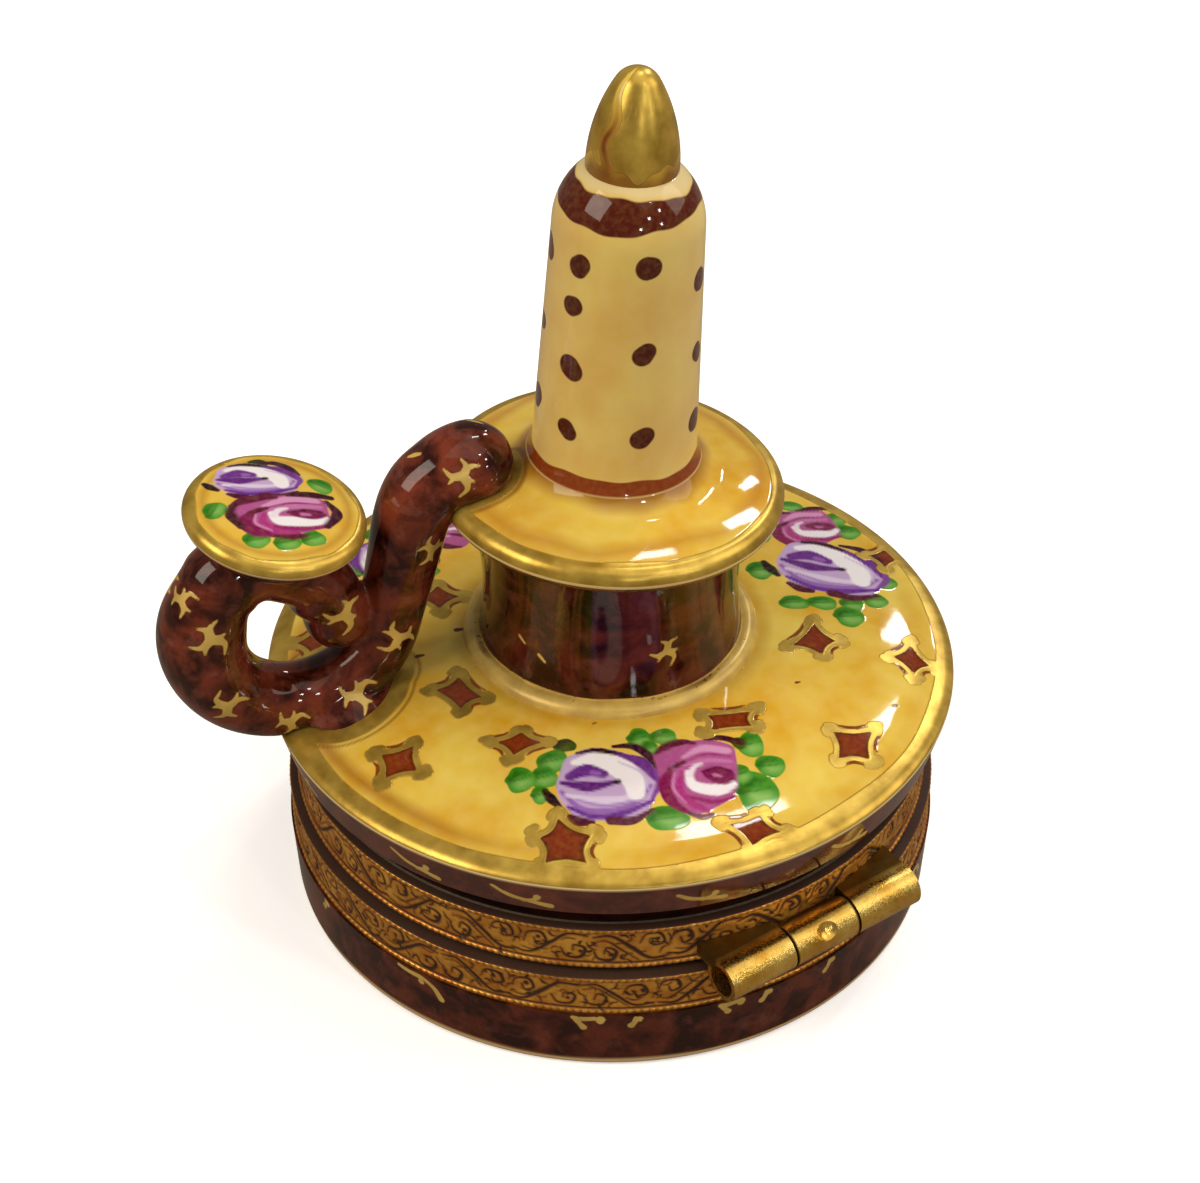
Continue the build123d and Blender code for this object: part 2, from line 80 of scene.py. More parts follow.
def linear(hex_colour: str) -> tuple[float, float, float, float]:
    """Turn an sRGB hex colour into linear RGBA.

    Args:
        hex_colour: six hex digits, such as "E3B04A".

    Returns:
        Four linear values, alpha 1.
    """
    channels = [int(hex_colour[i : i + 2], 16) / 255 for i in (0, 2, 4)]
    return tuple(c / 12.92 if c <= 0.04045 else ((c + 0.055) / 1.055) ** 2.4 for c in channels) + (1.0,)


def add_node(
    tree: bpy.types.NodeTree, kind: str, inputs: dict | None = None, **settings: str
) -> bpy.types.Node:
    """Add one node, with its settings, constants and links.

    Args:
        tree: the node tree.
        kind: the node's type name.
        inputs: socket name or index to a constant, or to the socket that feeds it.
        settings: attributes of the node.

    Returns:
        The new node.
    """
    node = tree.nodes.new(kind)
    for name, value in settings.items():
        setattr(node, name, value)
    for key, value in (inputs or {}).items():
        if isinstance(value, bpy.types.NodeSocket):
            tree.links.new(value, node.inputs[key])
        else:
            node.inputs[key].default_value = value
    return node


def deselect_all() -> None:
    """Leave object mode with nothing selected."""
    if bpy.context.object and bpy.context.object.mode != "OBJECT":
        bpy.ops.object.mode_set(mode="OBJECT")
    bpy.ops.object.select_all(action="DESELECT")


def make_active(obj: bpy.types.Object) -> None:
    """Select one object alone and make it the active one.

    Args:
        obj: the object.
    """
    deselect_all()
    obj.select_set(True)
    bpy.context.view_layer.objects.active = obj


def apply_modifier(obj: bpy.types.Object, kind: str, **settings: object) -> None:
    """Add one modifier and apply it.

    Args:
        obj: the object it works on.
        kind: the modifier's type name.
        settings: its attributes.
    """
    make_active(obj)
    modifier = obj.modifiers.new(kind.title(), kind)
    for name, value in settings.items():
        setattr(modifier, name, value)
    bpy.ops.object.modifier_apply(modifier=modifier.name)


def place(obj: bpy.types.Object, matrix: Matrix) -> None:
    """Put an object's place into its mesh, so that the object itself stays at the origin.

    Args:
        obj: the object.
        matrix: where it goes.
    """
    make_active(obj)
    obj.matrix_world = matrix
    bpy.ops.object.transform_apply(location=True, rotation=True, scale=True)


def smooth_shade(obj: bpy.types.Object, degrees: float = 40.0) -> None:
    """Shade smooth, with edges sharper than an angle left crisp."""
    make_active(obj)
    bpy.ops.object.shade_smooth_by_angle(angle=math.radians(degrees))


def tidy_mesh(obj: bpy.types.Object, merge_mm: float = 0.0005) -> None:
    """Merge doubles, drop loose edges and point the faces outwards.

    Args:
        obj: the object.
        merge_mm: how close two points are when they become one, in millimetres.
    """
    make_active(obj)
    bpy.ops.object.mode_set(mode="EDIT")
    bpy.ops.mesh.select_all(action="SELECT")
    bpy.ops.mesh.remove_doubles(threshold=merge_mm * MM)
    bpy.ops.mesh.delete_loose()
    bpy.ops.mesh.select_all(action="SELECT")
    bpy.ops.mesh.normals_make_consistent(inside=False)
    bpy.ops.object.mode_set(mode="OBJECT")


def copy_of_node(name: str, piece_name: str) -> bpy.types.Object:
    """Copy a CAD node's mesh into a new, merged piece of its own.

    Args:
        name: the CAD node.
        piece_name: the new piece.

    Returns:
        The new object, at the origin.
    """
    obj = bpy.data.objects.new(piece_name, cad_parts[name].data.copy())
    obj.data.name = piece_name
    bpy.context.scene.collection.objects.link(obj)
    obj.data.materials.clear()
    tidy_mesh(obj, merge_mm=0.001)
    return obj


def finish_piece(
    obj: bpy.types.Object,
    material: bpy.types.Material,
    body: Body,
    node: str,
    crease: float = 40.0,
) -> None:
    """Dress a modelled piece and ride it on its body, in place of the CAD node that it stands for.

    Args:
        obj: the piece.
        material: its finish.
        body: the half of the box that it turns with.
        node: the CAD node that it replaces.
        crease: the angle in degrees from which an edge stays crisp.
    """
    obj.data.materials.clear()
    obj.data.materials.append(material)
    smooth_shade(obj, crease)
    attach(obj, body.value)
    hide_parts(node)
    LOG.info("%s: %d faces, rides on %s", obj.name, len(obj.data.polygons), body.value)


def handle_axes() -> tuple[np.ndarray, np.ndarray]:
    """The level directions outwards along the handle and across it."""
    c, s = math.cos(math.radians(HANDLE_AZIMUTH)), math.sin(math.radians(HANDLE_AZIMUTH))
    return np.array([c, s, 0.0]), np.array([-s, c, 0.0])


# ---- Lathe work ----


class Profile:
    """A turned piece's outline: lines and arcs in radius and height, in millimetres."""

    def __init__(self, radius: float, height: float, step: float) -> None:
        """Start the outline.

        Args:
            radius: the first point's radius.
            height: the first point's height.
            step: how far apart the outline is sampled.
        """
        self.points = [np.array([radius, height], float)]
        self.heading = np.array([1.0, 0.0])
        self.step = step

    def every(self, step: float) -> "Profile":
        """Sample at a new step from here on."""
        self.step = step
        return self

    def facing(self, radius: float, height: float) -> "Profile":
        """Head along a direction, given by its run in radius and in height."""
        self.heading = np.array([radius, height], float) / math.hypot(radius, height)
        return self

    def line(self, radius: float, height: float) -> "Profile":
        """Run straight to a point.

        Args:
            radius: the end's radius.
            height: the end's height.

        Returns:
            The same profile, as every method here does.
        """
        start, end = self.points[-1], np.array([radius, height], float)
        length = float(np.linalg.norm(end - start))
        count = max(1, round(length / self.step))
        self.points += [start + (end - start) * k / count for k in range(1, count + 1)]
        if length > 0:
            self.heading = (end - start) / length
        return self

    def sweep(self, centre: np.ndarray, angle: float) -> "Profile":
        """Turn about a centre.

        Args:
            centre: the centre.
            angle: how far, in radians, anticlockwise when positive.

        Returns:
            The same profile.
        """
        arm = self.points[-1] - centre
        count = max(3, round(abs(angle) * float(np.linalg.norm(arm)) / self.step))
        for k in range(1, count + 1):
            c, s = math.cos(angle * k / count), math.sin(angle * k / count)
            self.points.append(centre + np.array([c * arm[0] - s * arm[1], s * arm[0] + c * arm[1]]))
        c, s = math.cos(angle), math.sin(angle)
        x, y = self.heading
        self.heading = np.array([c * x - s * y, s * x + c * y])
        return self

    def turn(self, radius: float, degrees: float) -> "Profile":
        """Turn from the present heading on a radius, left when the angle is positive."""
        normal = np.array([-self.heading[1], self.heading[0]]) * math.copysign(1, degrees)
        return self.sweep(self.points[-1] + normal * radius, math.radians(degrees))

    def arc_to(self, radius: float, height: float) -> "Profile":
        """Run to a point on the arc that leaves along the present heading.

        Args:
            radius: the end's radius.
            height: the end's height.

        Returns:
            The same profile.
        """
        chord = np.array([radius, height], float) - self.points[-1]
        normal = np.array([-self.heading[1], self.heading[0]])
        across = float(chord @ normal)
        if abs(across) < TINY:
            return self.line(radius, height)
        centre = self.points[-1] + normal * (chord @ chord) / (2 * across)
        return self.sweep(centre, 2 * math.atan2(across, float(chord @ self.heading)))

    def arc_through(self, middle: Point, end: Point) -> "Profile":
        """Run to an end on the arc through a middle point.

        Args:
            middle: a point that the arc passes.
            end: where it ends.

        Returns:
            The same profile.
        """
        a, b, c = self.points[-1], np.array(middle, float), np.array(end, float)
        system = 2 * np.array([b - a, c - a])
        centre = np.linalg.solve(system, [b @ b - a @ a, c @ c - a @ a])
        arm = a - centre
        side = math.copysign(1, (b - a)[0] * (c - b)[1] - (b - a)[1] * (c - b)[0])
        self.heading = side * np.array([-arm[1], arm[0]]) / np.linalg.norm(arm)
        return self.arc_to(*end)

    def softened(self, first: int, last: int, passes: int) -> "Profile":
        """Round the corners as fired glaze does, by averaging neighbours.

        Args:
            first: the number of the first point that moves.
            last: the number of the first point after them that stays.
            passes: how many times each point is averaged.

        Returns:
            The same profile.
        """
        chain = np.array(self.points)
        for _ in range(passes):
            beside = chain[first - 1 : last - 1] + chain[first + 1 : last + 1]
            chain[first:last] = chain[first:last] * 0.5 + beside * 0.25
        self.points = list(chain)
        return self

    def spun(self, name: str, steps: int) -> bpy.types.Object:
        """Spin the outline about the upright axis.

        Args:
            name: the new object's name.
            steps: how many facets the full turn has.

        Returns:
            The turned object, closed, with its faces outwards.
        """
        deselect_all()
        bpy.ops.mesh.primitive_circle_add(vertices=len(self.points), radius=MM, fill_type="NOTHING")
        obj = bpy.context.object
        obj.name = obj.data.name = name
        for vertex, (radius, height) in zip(obj.data.vertices, self.points):
            vertex.co = (radius * MM, 0.0, height * MM)
        merge = {"use_merge_vertices": True, "merge_threshold": 0.0005 * MM}
        apply_modifier(obj, "SCREW", angle=math.tau, steps=steps, render_steps=steps, axis="Z", **merge)
        tidy_mesh(obj)
        return obj


# ---- Finishes ----


Socket = bpy.types.NodeSocket
Value = float | Socket
Colour = str | Socket  # a hex string or a colour socket


def new_material(name: str) -> tuple[bpy.types.NodeTree, bpy.types.Material]:
    """Make an empty node material.

    Args:
        name: its name.

    Returns:
        Its tree, and the material.
    """
    material = bpy.data.materials.new(name)
    material.use_nodes = True
    material.node_tree.nodes.clear()
    return material.node_tree, material


class Palette:
    """Short cuts for the nodes that colour one material."""

    def __init__(self, tree: bpy.types.NodeTree) -> None:
        """Work in one node tree, with patterns placed by the object's own coordinates."""
        self.tree = tree
        self.coords = add_node(tree, "ShaderNodeTexCoord").outputs["Object"]

    def noise(self, size: float, detail: float = 3.0, distortion: float = 0.0) -> Socket:
        """Draw noise.

        Args:
            size: how many millimetres its features are across.
            detail: how many finer layers it has.
            distortion: how far it is stirred.

        Returns:
            Its value.
        """
        scale = 1.0 / (size * MM)
        inputs = {"Vector": self.coords, "Scale": scale, "Detail": detail, "Distortion": distortion}
        return add_node(self.tree, "ShaderNodeTexNoise", inputs).outputs["Fac"]

    def ramp(
        self, value: Value, low: float, high: float, to_low: Value = 0.0, to_high: Value = 1.0
    ) -> Socket:
        """Stretch a value's range low to high over another range, clamped."""
        inputs = {"Value": value, "From Min": low, "From Max": high, "To Min": to_low, "To Max": to_high}
        return add_node(self.tree, "ShaderNodeMapRange", inputs).outputs["Result"]

    def mix(self, factor: Value, first: Colour, second: Colour) -> Socket:
        """Mix two colours.

        Args:
            factor: how much of the second there is.
            first: one colour.
            second: the other.

        Returns:
            The mixed colour.
        """
        first = linear(first) if isinstance(first, str) else first
        second = linear(second) if isinstance(second, str) else second
        inputs = {0: factor, 6: first, 7: second}
        return add_node(self.tree, "ShaderNodeMix", inputs, data_type="RGBA").outputs[2]

    def maths(self, operation: str, first: Value, second: Value) -> Socket:
        """Combine two values."""
        return add_node(self.tree, "ShaderNodeMath", {0: first, 1: second}, operation=operation).outputs[0]

    def attribute(self, name: str) -> bpy.types.Node:
        """Read one of the piece's own attributes."""
        return add_node(self.tree, "ShaderNodeAttribute", attribute_name=name)

    def finish(self, height: Value, depth_mm: float, **inputs: Value) -> None:
        """Close the material with a bumped principled shader.

        Args:
            height: the relief, from 0 to 1.
            depth_mm: how deep the whole relief is, in millimetres.
            inputs: the shader's sockets, with an underscore for each space.
        """
        relief = {"Height": height, "Strength": 1.0, "Distance": depth_mm * MM}
        bump = add_node(self.tree, "ShaderNodeBump", relief)
        named = {key.replace("_", " "): value for key, value in inputs.items()}
        shader = add_node(self.tree, "ShaderNodeBsdfPrincipled", {**named, "Normal": bump.outputs[0]})
        add_node(self.tree, "ShaderNodeOutputMaterial", {"Surface": shader.outputs[0]})


@dataclass(frozen=True)
class PaintedPorcelain:
    """Glazed porcelain with enamels and gold fired over the glaze.

    Gives the eye a wet, pooled glaze with duller raised gold on it.  The ground is chosen by the
    piece's "ground" attribute: 0 white, 1 yellow, 2 brown.  Stains, painted shade and reflections,
    enamel colours and gilding come from the piece's own painted attributes.
    """

    name: str
    yellow_deep: str = "D5A024"
    yellow_pale: str = "E3C552"
    yellow_thin: str = "ECD88E"
    brown_dark: str = "300D05"
    brown_mid: str = "793420"
    brown_light: str = "8C5044"
    white: str = "E6DFD0"
    gold: str = "DAB650"
    gold_deep: str = "A5832E"
    glaze_roughness: float = 0.06
    gold_roughness: float = 0.32
    gold_metal: float = 0.6
    gold_on_brown_metal: float = 0.15
    gold_on_brown: str = "E6C67C"
    gold_outline: str = "6A3A10"
    shine: float = 0.3
    glaze_ior: float = 1.52
    relief_depth: float = 0.02

    def build(self) -> bpy.types.Material:
        """Build the material.

        Returns:
            The material.
        """
        tree, material = new_material(self.name)
        nodes = Palette(tree)
        # Yellow glaze pools thicker and darker in patches a few millimetres wide
        yellow = nodes.mix(nodes.ramp(nodes.noise(4.5, 3), 0.30, 0.70), self.yellow_deep, self.yellow_pale)
        yellow = nodes.mix(nodes.ramp(nodes.noise(1.1, 3), 0.35, 0.9, 0.0, 0.22), yellow, self.yellow_thin)
        # Brown glaze was sponged on: dark patches, paler worn ones and a fine speckle
        brown = nodes.mix(nodes.ramp(nodes.noise(2.4, 5, 0.5), 0.40, 0.62), self.brown_dark, self.brown_mid)
        brown = nodes.mix(nodes.ramp(nodes.noise(1.3, 4, 0.3), 0.54, 0.78, 0.0, 0.6), brown, self.brown_light)
        brown = nodes.mix(nodes.ramp(nodes.noise(0.3, 2), 0.56, 0.75, 0.0, 0.45), brown, self.brown_dark)
        ground = nodes.attribute("ground").outputs["Fac"]
        base = nodes.mix(nodes.ramp(ground, 0.35, 0.65), self.white, yellow)
        on_brown = (1.35, 1.65)
        base = nodes.mix(nodes.ramp(ground, *on_brown), base, brown)
        # Stains under the decoration, where a glaze ran or was wiped, and painted shade, sheen and
        # reflections laid the same way
        wash = nodes.attribute("wash")
        base = nodes.mix(wash.outputs["Alpha"], base, wash.outputs["Color"])
        # Enamel strokes, a little streaky where the brush thinned them
        enamel = nodes.attribute("enamel")
        edge = nodes.ramp(enamel.outputs["Alpha"], 0.4, 0.6)
        strength = nodes.maths("MULTIPLY", edge, nodes.ramp(nodes.noise(0.4, 3), 0.25, 0.6, 0.93, 1.0))
        base = nodes.mix(strength, base, enamel.outputs["Color"])
        # Fired gold, rubbed thin in places, with a brown edge where it was outlined
        gilding = nodes.attribute("gilding").outputs["Fac"]
        rubbed = nodes.maths("MULTIPLY", gilding, nodes.ramp(nodes.noise(0.35, 4), 0.18, 0.4, 0.62, 1.0))
        metal = nodes.ramp(rubbed, 0.44, 0.58)
        outline = nodes.ramp(rubbed, 0.30, 0.44, 0.0, 0.4)
        base = nodes.mix(outline, base, self.gold_outline)
        gold = nodes.mix(nodes.ramp(nodes.noise(1.7, 3), 0.3, 0.7), self.gold_deep, self.gold)
        # Fine strokes on the brown catch more light than the broad gold bands
        gold = nodes.mix(nodes.ramp(ground, *on_brown, 0.0, 0.3), gold, self.gold_on_brown)
        base = nodes.mix(metal, base, gold)
        # Enamel stands a little above the glaze and gold more so; the glaze itself is gently uneven
        relief = nodes.maths("ADD", nodes.maths("MULTIPLY", edge, 0.35), nodes.maths("MULTIPLY", metal, 0.9))
        relief = nodes.maths("ADD", relief, nodes.maths("MULTIPLY", nodes.noise(2.2, 2), 0.5))
        grit = nodes.maths("MULTIPLY", nodes.noise(0.35, 2), nodes.ramp(metal, 0.0, 1.0, 0.0, 0.25))
        metallic = nodes.ramp(ground, *on_brown, self.gold_metal, self.gold_on_brown_metal)
        nodes.finish(
            nodes.maths("ADD", relief, grit),
            self.relief_depth,
            Base_Color=base,
            Metallic=nodes.maths("MULTIPLY", metal, metallic),
            Roughness=nodes.ramp(metal, 0.0, 1.0, self.glaze_roughness, self.gold_roughness),
            IOR=self.glaze_ior,
            Specular_IOR_Level=self.shine,
        )
        return material


@dataclass(frozen=True)
class GiltBrass:
    """Gilt brass, bright on the high places, with dark wax and dirt left in the cuts.

    Gives the eye a warm satin metal that goes brown in its engraving.
    """

    name: str
    bright: str = "EFCB6E"
    worn: str = "CF9C3C"
    dirt_and_shade: str = "2A1004"
    tarnish: str = "8C4A14"
    grime: float = 0.3
    roughness: float = 0.24
    carved: bool = False
    hinge: bool = False

    def build(self) -> bpy.types.Material:
        """Build the material; a carved piece takes its dirt and painted shade from its "cut" attribute.

        Returns:
            The material.
        """
        tree, material = new_material(self.name)
        nodes = Palette(tree)
        # The grain of the polishing is drawn coarser than it is, so that it shows
        grain = nodes.noise(0.16, 3)
        colour = nodes.mix(nodes.ramp(nodes.noise(2.0, 5), 0.35, 0.68), self.worn, self.bright)
        colour = nodes.mix(nodes.ramp(nodes.noise(0.45, 4), 0.52, 0.78, 0.0, self.grime), colour, self.dirt_and_shade)
        rough = nodes.ramp(grain, 0.3, 0.75, self.roughness * 0.8, self.roughness * 1.5)
        metallic: Value = 1.0
        if self.hinge:
            # Painted shade darkens the barrel beside the gaps between the knuckles, and a painted reflection
            # of the dark skirt and gap above darkens its upper side towards the band
            place_in_mesh = add_node(tree, "ShaderNodeSeparateXYZ", {0: nodes.coords}).outputs
            seam_shade = nodes.maths("ABSOLUTE", place_in_mesh[0], 0.0)
            seam_shade = nodes.maths("ABSOLUTE", nodes.maths("SUBTRACT", seam_shade, KNUCKLE_HALF * MM), 0.0)
            dirt_and_shade = nodes.ramp(seam_shade, 0.06 * MM, 0.15 * MM, 0.9, 0.0)
            inner = nodes.ramp(place_in_mesh[1], (HINGE_Y - 0.75) * MM, (HINGE_Y - 0.2) * MM, 0.85, 0.0)
            upper = nodes.ramp(place_in_mesh[2], HINGE_Z * MM, (HINGE_Z + 0.5) * MM)
            dirt_and_shade = nodes.maths("MAXIMUM", dirt_and_shade, nodes.maths("MULTIPLY", inner, upper))
            colour = nodes.mix(dirt_and_shade, colour, self.dirt_and_shade)
            rough = nodes.ramp(dirt_and_shade, 0.0, 1.0, rough, 0.6)
        if self.carved:
            # The "cut" attribute carries the engraving and also painted shade on the band's joint faces.
            cut = nodes.attribute("cut").outputs["Fac"]
            colour = nodes.mix(nodes.ramp(cut, 0.03, 0.4, 0.0, 0.6), colour, self.tarnish)
            dirt_and_shade = nodes.ramp(cut, 0.4, 0.72, 0.0, 0.95)
            colour = nodes.mix(dirt_and_shade, colour, self.dirt_and_shade)
            metallic = nodes.ramp(dirt_and_shade, 0.0, 1.0, 0.7, 0.1)
            rough = nodes.ramp(dirt_and_shade, 0.0, 1.0, rough, 0.75)
        nodes.finish(grain, 0.008, Base_Color=colour, Metallic=metallic, Roughness=rough)
        return material


@dataclass(frozen=True)
class Plaster:
    """Mounting cement, dull and slightly grainy, coloured dark as painted shade for the recess it sits in, so
    the joint reads as filled.
    """

    name: str
    colour: str = "7A6C56"
    shade: str = "463B2D"

    def build(self) -> bpy.types.Material:
        """Build the material.

        Returns:
            The material.
        """
        tree, material = new_material(self.name)
        nodes = Palette(tree)
        grain = nodes.noise(0.4, 4)
        nodes.finish(grain, 0.02, Base_Color=nodes.mix(grain, self.shade, self.colour), Roughness=0.85)
        return material


# ---- Painting and engraving ----

FAR = 9.0  # a distance, in millimetres, at which no mark is seen
EDGE = 0.25  # half of the slope, in millimetres, that a stored edge has on each side
Measured = tuple[np.ndarray, np.ndarray]  # some vertices, and their distances from a mark's edge


class Ground(Enum):
    """Which glaze lies under the painting."""

    WHITE = 0.0
    YELLOW = 1.0
    BROWN = 2.0


def softened_edge(inside: np.ndarray, width: float = 2 * EDGE) -> np.ndarray:
    """Turn a distance inside an edge into cover from 0 to 1, over a slope of this width."""
    return np.clip(0.5 + inside / width, 0, 1)


def stripe(distance: np.ndarray, half_width: float) -> np.ndarray:
    """A soft line: 1 where the distance from its middle is nought, 0 from its half width on."""
    return np.clip(1 - np.abs(distance) / half_width, 0, 1)


def curve(points: list[Point], step: float = 0.15, closed: bool = False) -> np.ndarray:
    """Run a smooth curve through some points.

    Args:
        points: two or more points.
        step: how far apart the samples lie, in millimetres.
        closed: whether the curve returns to its start.

    Returns:
        The samples, one per row.
    """
    chain = np.array(points, float)
    if closed:
        chain = np.vstack([chain[-1], chain, chain[:2]])
    else:
        chain = np.vstack([2 * chain[0] - chain[1], chain, 2 * chain[-1] - chain[-2]])
    samples = []
    for a, b, c, d in zip(chain, chain[1:], chain[2:], chain[3:]):
        t = np.linspace(0, 1, max(2, math.ceil(np.linalg.norm(c - b) / step)), endpoint=False)[:, None]
        square, cube = 2 * a - 5 * b + 4 * c - d, 3 * b - a - 3 * c + d
        samples.append(0.5 * (2 * b + (c - a) * t + square * t**2 + cube * t**3))
    if not closed:
        samples.append(chain[-2:-1])
    return np.vstack(samples)


class Canvas:
    """The painted attributes of one piece, held per vertex."""

    def __init__(self, obj: bpy.types.Object) -> None:
        """Read a piece's points, in millimetres, and its normals.

        Args:
            obj: the piece.
        """
        self.obj = obj
        count = len(obj.data.vertices)
        flat = np.zeros(count * 3)
        obj.data.vertices.foreach_get("co", flat)
        self.points = flat.reshape(-1, 3) / MM
        normals = np.zeros(count * 3)
        obj.data.vertices.foreach_get("normal", normals)
        self.normals = normals.reshape(-1, 3)
        self.ground = np.zeros(count)
        self.wash = np.zeros((count, 4))
        self.enamel = np.zeros((count, 4))
        self.gilding = np.zeros(count)
        self.cut = np.zeros(count)

    def turned(self) -> tuple[np.ndarray, np.ndarray, np.ndarray]:
        """Each vertex's radius and angle about the upright axis, and its height."""
        x, y, z = self.points.T
        return np.hypot(x, y), np.arctan2(y, x), z

    def stain_and_painted_light(self, colour: str, amount: np.ndarray) -> None:
        """Lay a soft tint over the whole piece; it carries stains and also painted shade, sheen and
        reflections.

        Args:
            colour: its colour.
            amount: how strong it is at each vertex, from 0 to 1.
        """
        amount = np.clip(amount, 0, 1)[:, None]
        below = self.wash[:, 3:] * (1 - amount)
        total = np.maximum(below + amount, 1e-6)
        self.wash[:, :3] = (self.wash[:, :3] * below + np.array(linear(colour)[:3]) * amount) / total
        self.wash[:, 3:] = below + amount

    def gild_where(self, inside: np.ndarray) -> None:
        """Gild where a distance inside an edge, in millimetres, is positive."""
        self.gilding = np.maximum(self.gilding, softened_edge(inside))

    def enamel_where(self, colour: str, inside: np.ndarray) -> None:
        """Enamel a part of the piece.

        Args:
            colour: the enamel's colour.
            inside: each vertex's distance inside the part's edge, in millimetres.
        """
        edge = softened_edge(inside)
        self.enamel[edge > 0, :3] = linear(colour)[:3]
        self.enamel[:, 3] = np.maximum(self.enamel[:, 3], edge)

    def write(self) -> None:
        """Store the painting on the mesh."""
        for name, kind, values, key in (
            ("ground", "FLOAT", self.ground, "value"),
            ("gilding", "FLOAT", self.gilding, "value"),
            ("wash", "FLOAT_COLOR", self.wash, "color"),
            ("enamel", "FLOAT_COLOR", self.enamel, "color"),
        ):
            attribute = self.obj.data.attributes.new(name, kind, "POINT")
            attribute.data.foreach_set(key, values.astype(np.float32).ravel())


class Brush:
    """Draws strokes and filled shapes in a flat chart, in millimetres, laid on part of a canvas."""

    def __init__(
        self,
        canvas: Canvas,
        u: np.ndarray,
        v: np.ndarray,
        mask: np.ndarray | None = None,
        period: float = 0.0,
    ) -> None:
        """Lay the chart.

        Args:
            canvas: the canvas drawn on.
            u: each vertex's coordinate to the right.
            v: each vertex's coordinate upwards.
            mask: which vertices the brush may reach, or None for all.
            period: after how many millimetres u comes round again, or 0.
        """
        self.canvas = canvas
        index = np.arange(len(u)) if mask is None else np.flatnonzero(mask)
        self.index = index[np.argsort(u[index], kind="stable")]
        self.u, self.v = u[self.index], v[self.index]
        self.shifts = (-period, 0.0, period) if period else (0.0,)

    @classmethod
    def round_wall(cls, canvas: Canvas, radius: float, mask: np.ndarray | None = None) -> "Brush":
        """Unroll the wall of a turned piece at a radius, and take a brush to it."""
        _, angle, z = canvas.turned()
        return cls(canvas, angle * radius, z, mask, math.tau * radius)

    def near(self, chain: np.ndarray, reach: float) -> tuple[np.ndarray, np.ndarray]:
        """Find the vertices about a chain.

        Args:
            chain: the chain's points.
            reach: how far from it they may lie.

        Returns:
            The vertices, and their places in the chart.
        """
        low, high = chain.min(axis=0) - reach, chain.max(axis=0) + reach
        found, places = [], []
        for shift in self.shifts:
            start, stop = np.searchsorted(self.u, (low[0] - shift, high[0] - shift))
            v = self.v[start:stop]
            keep = np.flatnonzero((v > low[1]) & (v < high[1])) + start
            found.append(self.index[keep])
            places.append(np.column_stack([self.u[keep] + shift, self.v[keep]]))
        return np.concatenate(found), np.concatenate(places)

    @staticmethod
    def gaps(flat: np.ndarray, start: np.ndarray, run: np.ndarray, half: np.ndarray) -> np.ndarray:
        """Measure how far points lie from the edge of a chain of tapering segments.

        Args:
            flat: the points.
            start: where each segment starts.
            run: each segment's length and direction.
            half: the half widths at the segments' ends.

        Returns:
            The distances, negative inside.
        """
        offset = flat[:, None] - start
        along = np.clip((offset * run).sum(-1) / np.maximum((run**2).sum(-1), TINY), 0, 1)
        widths = half[:-1] + (half[1:] - half[:-1]) * along
        away = np.linalg.norm(offset - run * along[..., None], axis=-1) - widths
        return away.min(axis=1, initial=FAR)

    def stroke(self, points: list[Point], widths: tuple[float, ...]) -> Measured:
        """Measure a brush stroke.

        Args:
            points: what it runs through.
            widths: its full width, spaced evenly from start to end.

        Returns:
            The measured mark, with distances negative inside.
        """
        chain = curve(points)
        half = np.interp(np.linspace(0, 1, len(chain)), np.linspace(0, 1, len(widths)), widths) / 2
        index, flat = self.near(chain, half.max() + EDGE)
        return index, self.gaps(flat, chain[:-1], np.diff(chain, axis=0), half)

    def shape(self, chain: np.ndarray) -> Measured:
        """Measure a closed shape.

        Args:
            chain: its outline.

        Returns:
            The measured mark, with distances negative inside.
        """
        index, flat = self.near(chain, EDGE)
        following = np.roll(chain, -1, axis=0)
        gap = self.gaps(flat, chain, following - chain, np.zeros(len(chain) + 1))
        x, y = flat[:, :1], flat[:, 1:]
        rise = following[:, 1] - chain[:, 1]
        rise = np.where(np.abs(rise) < TINY, TINY, rise)
        meets = (following[:, 0] - chain[:, 0]) * (y - chain[:, 1]) / rise + chain[:, 0]
        crossed = ((chain[:, 1] > y) != (following[:, 1] > y)) & (x < meets)
        return index, np.where(crossed.sum(axis=1) % 2 == 1, -gap, gap)

    def enamel(self, colour: str, measured: Measured, soft: float = 0.14) -> None:
        """Paint a measured mark in enamel, over what is there.

        Args:
            colour: the enamel's colour.
            measured: the mark.
            soft: over how many millimetres it fades into the enamel below.
        """
        index, gap = measured
        sheet = self.canvas.enamel
        edge = softened_edge(-gap)
        cover = np.where((sheet[index, 3] <= 0) & (edge > 0), 1.0, softened_edge(-gap, soft))
        sheet[index, :3] += (np.array(linear(colour)[:3]) - sheet[index, :3]) * cover[:, None]
        sheet[index, 3] = np.maximum(sheet[index, 3], edge)

    def gild(self, measured: Measured) -> None:
        """Paint a measured mark in gold."""
        index, gap = measured
        self.canvas.gilding[index] = np.maximum(self.canvas.gilding[index], softened_edge(-gap))

    def engrave(self, measured: Measured, soft: float) -> None:
        """Cut a measured mark into the metal, with walls sloped over some millimetres."""
        index, gap = measured
        self.canvas.cut[index] = np.maximum(self.canvas.cut[index], softened_edge(-gap, soft))


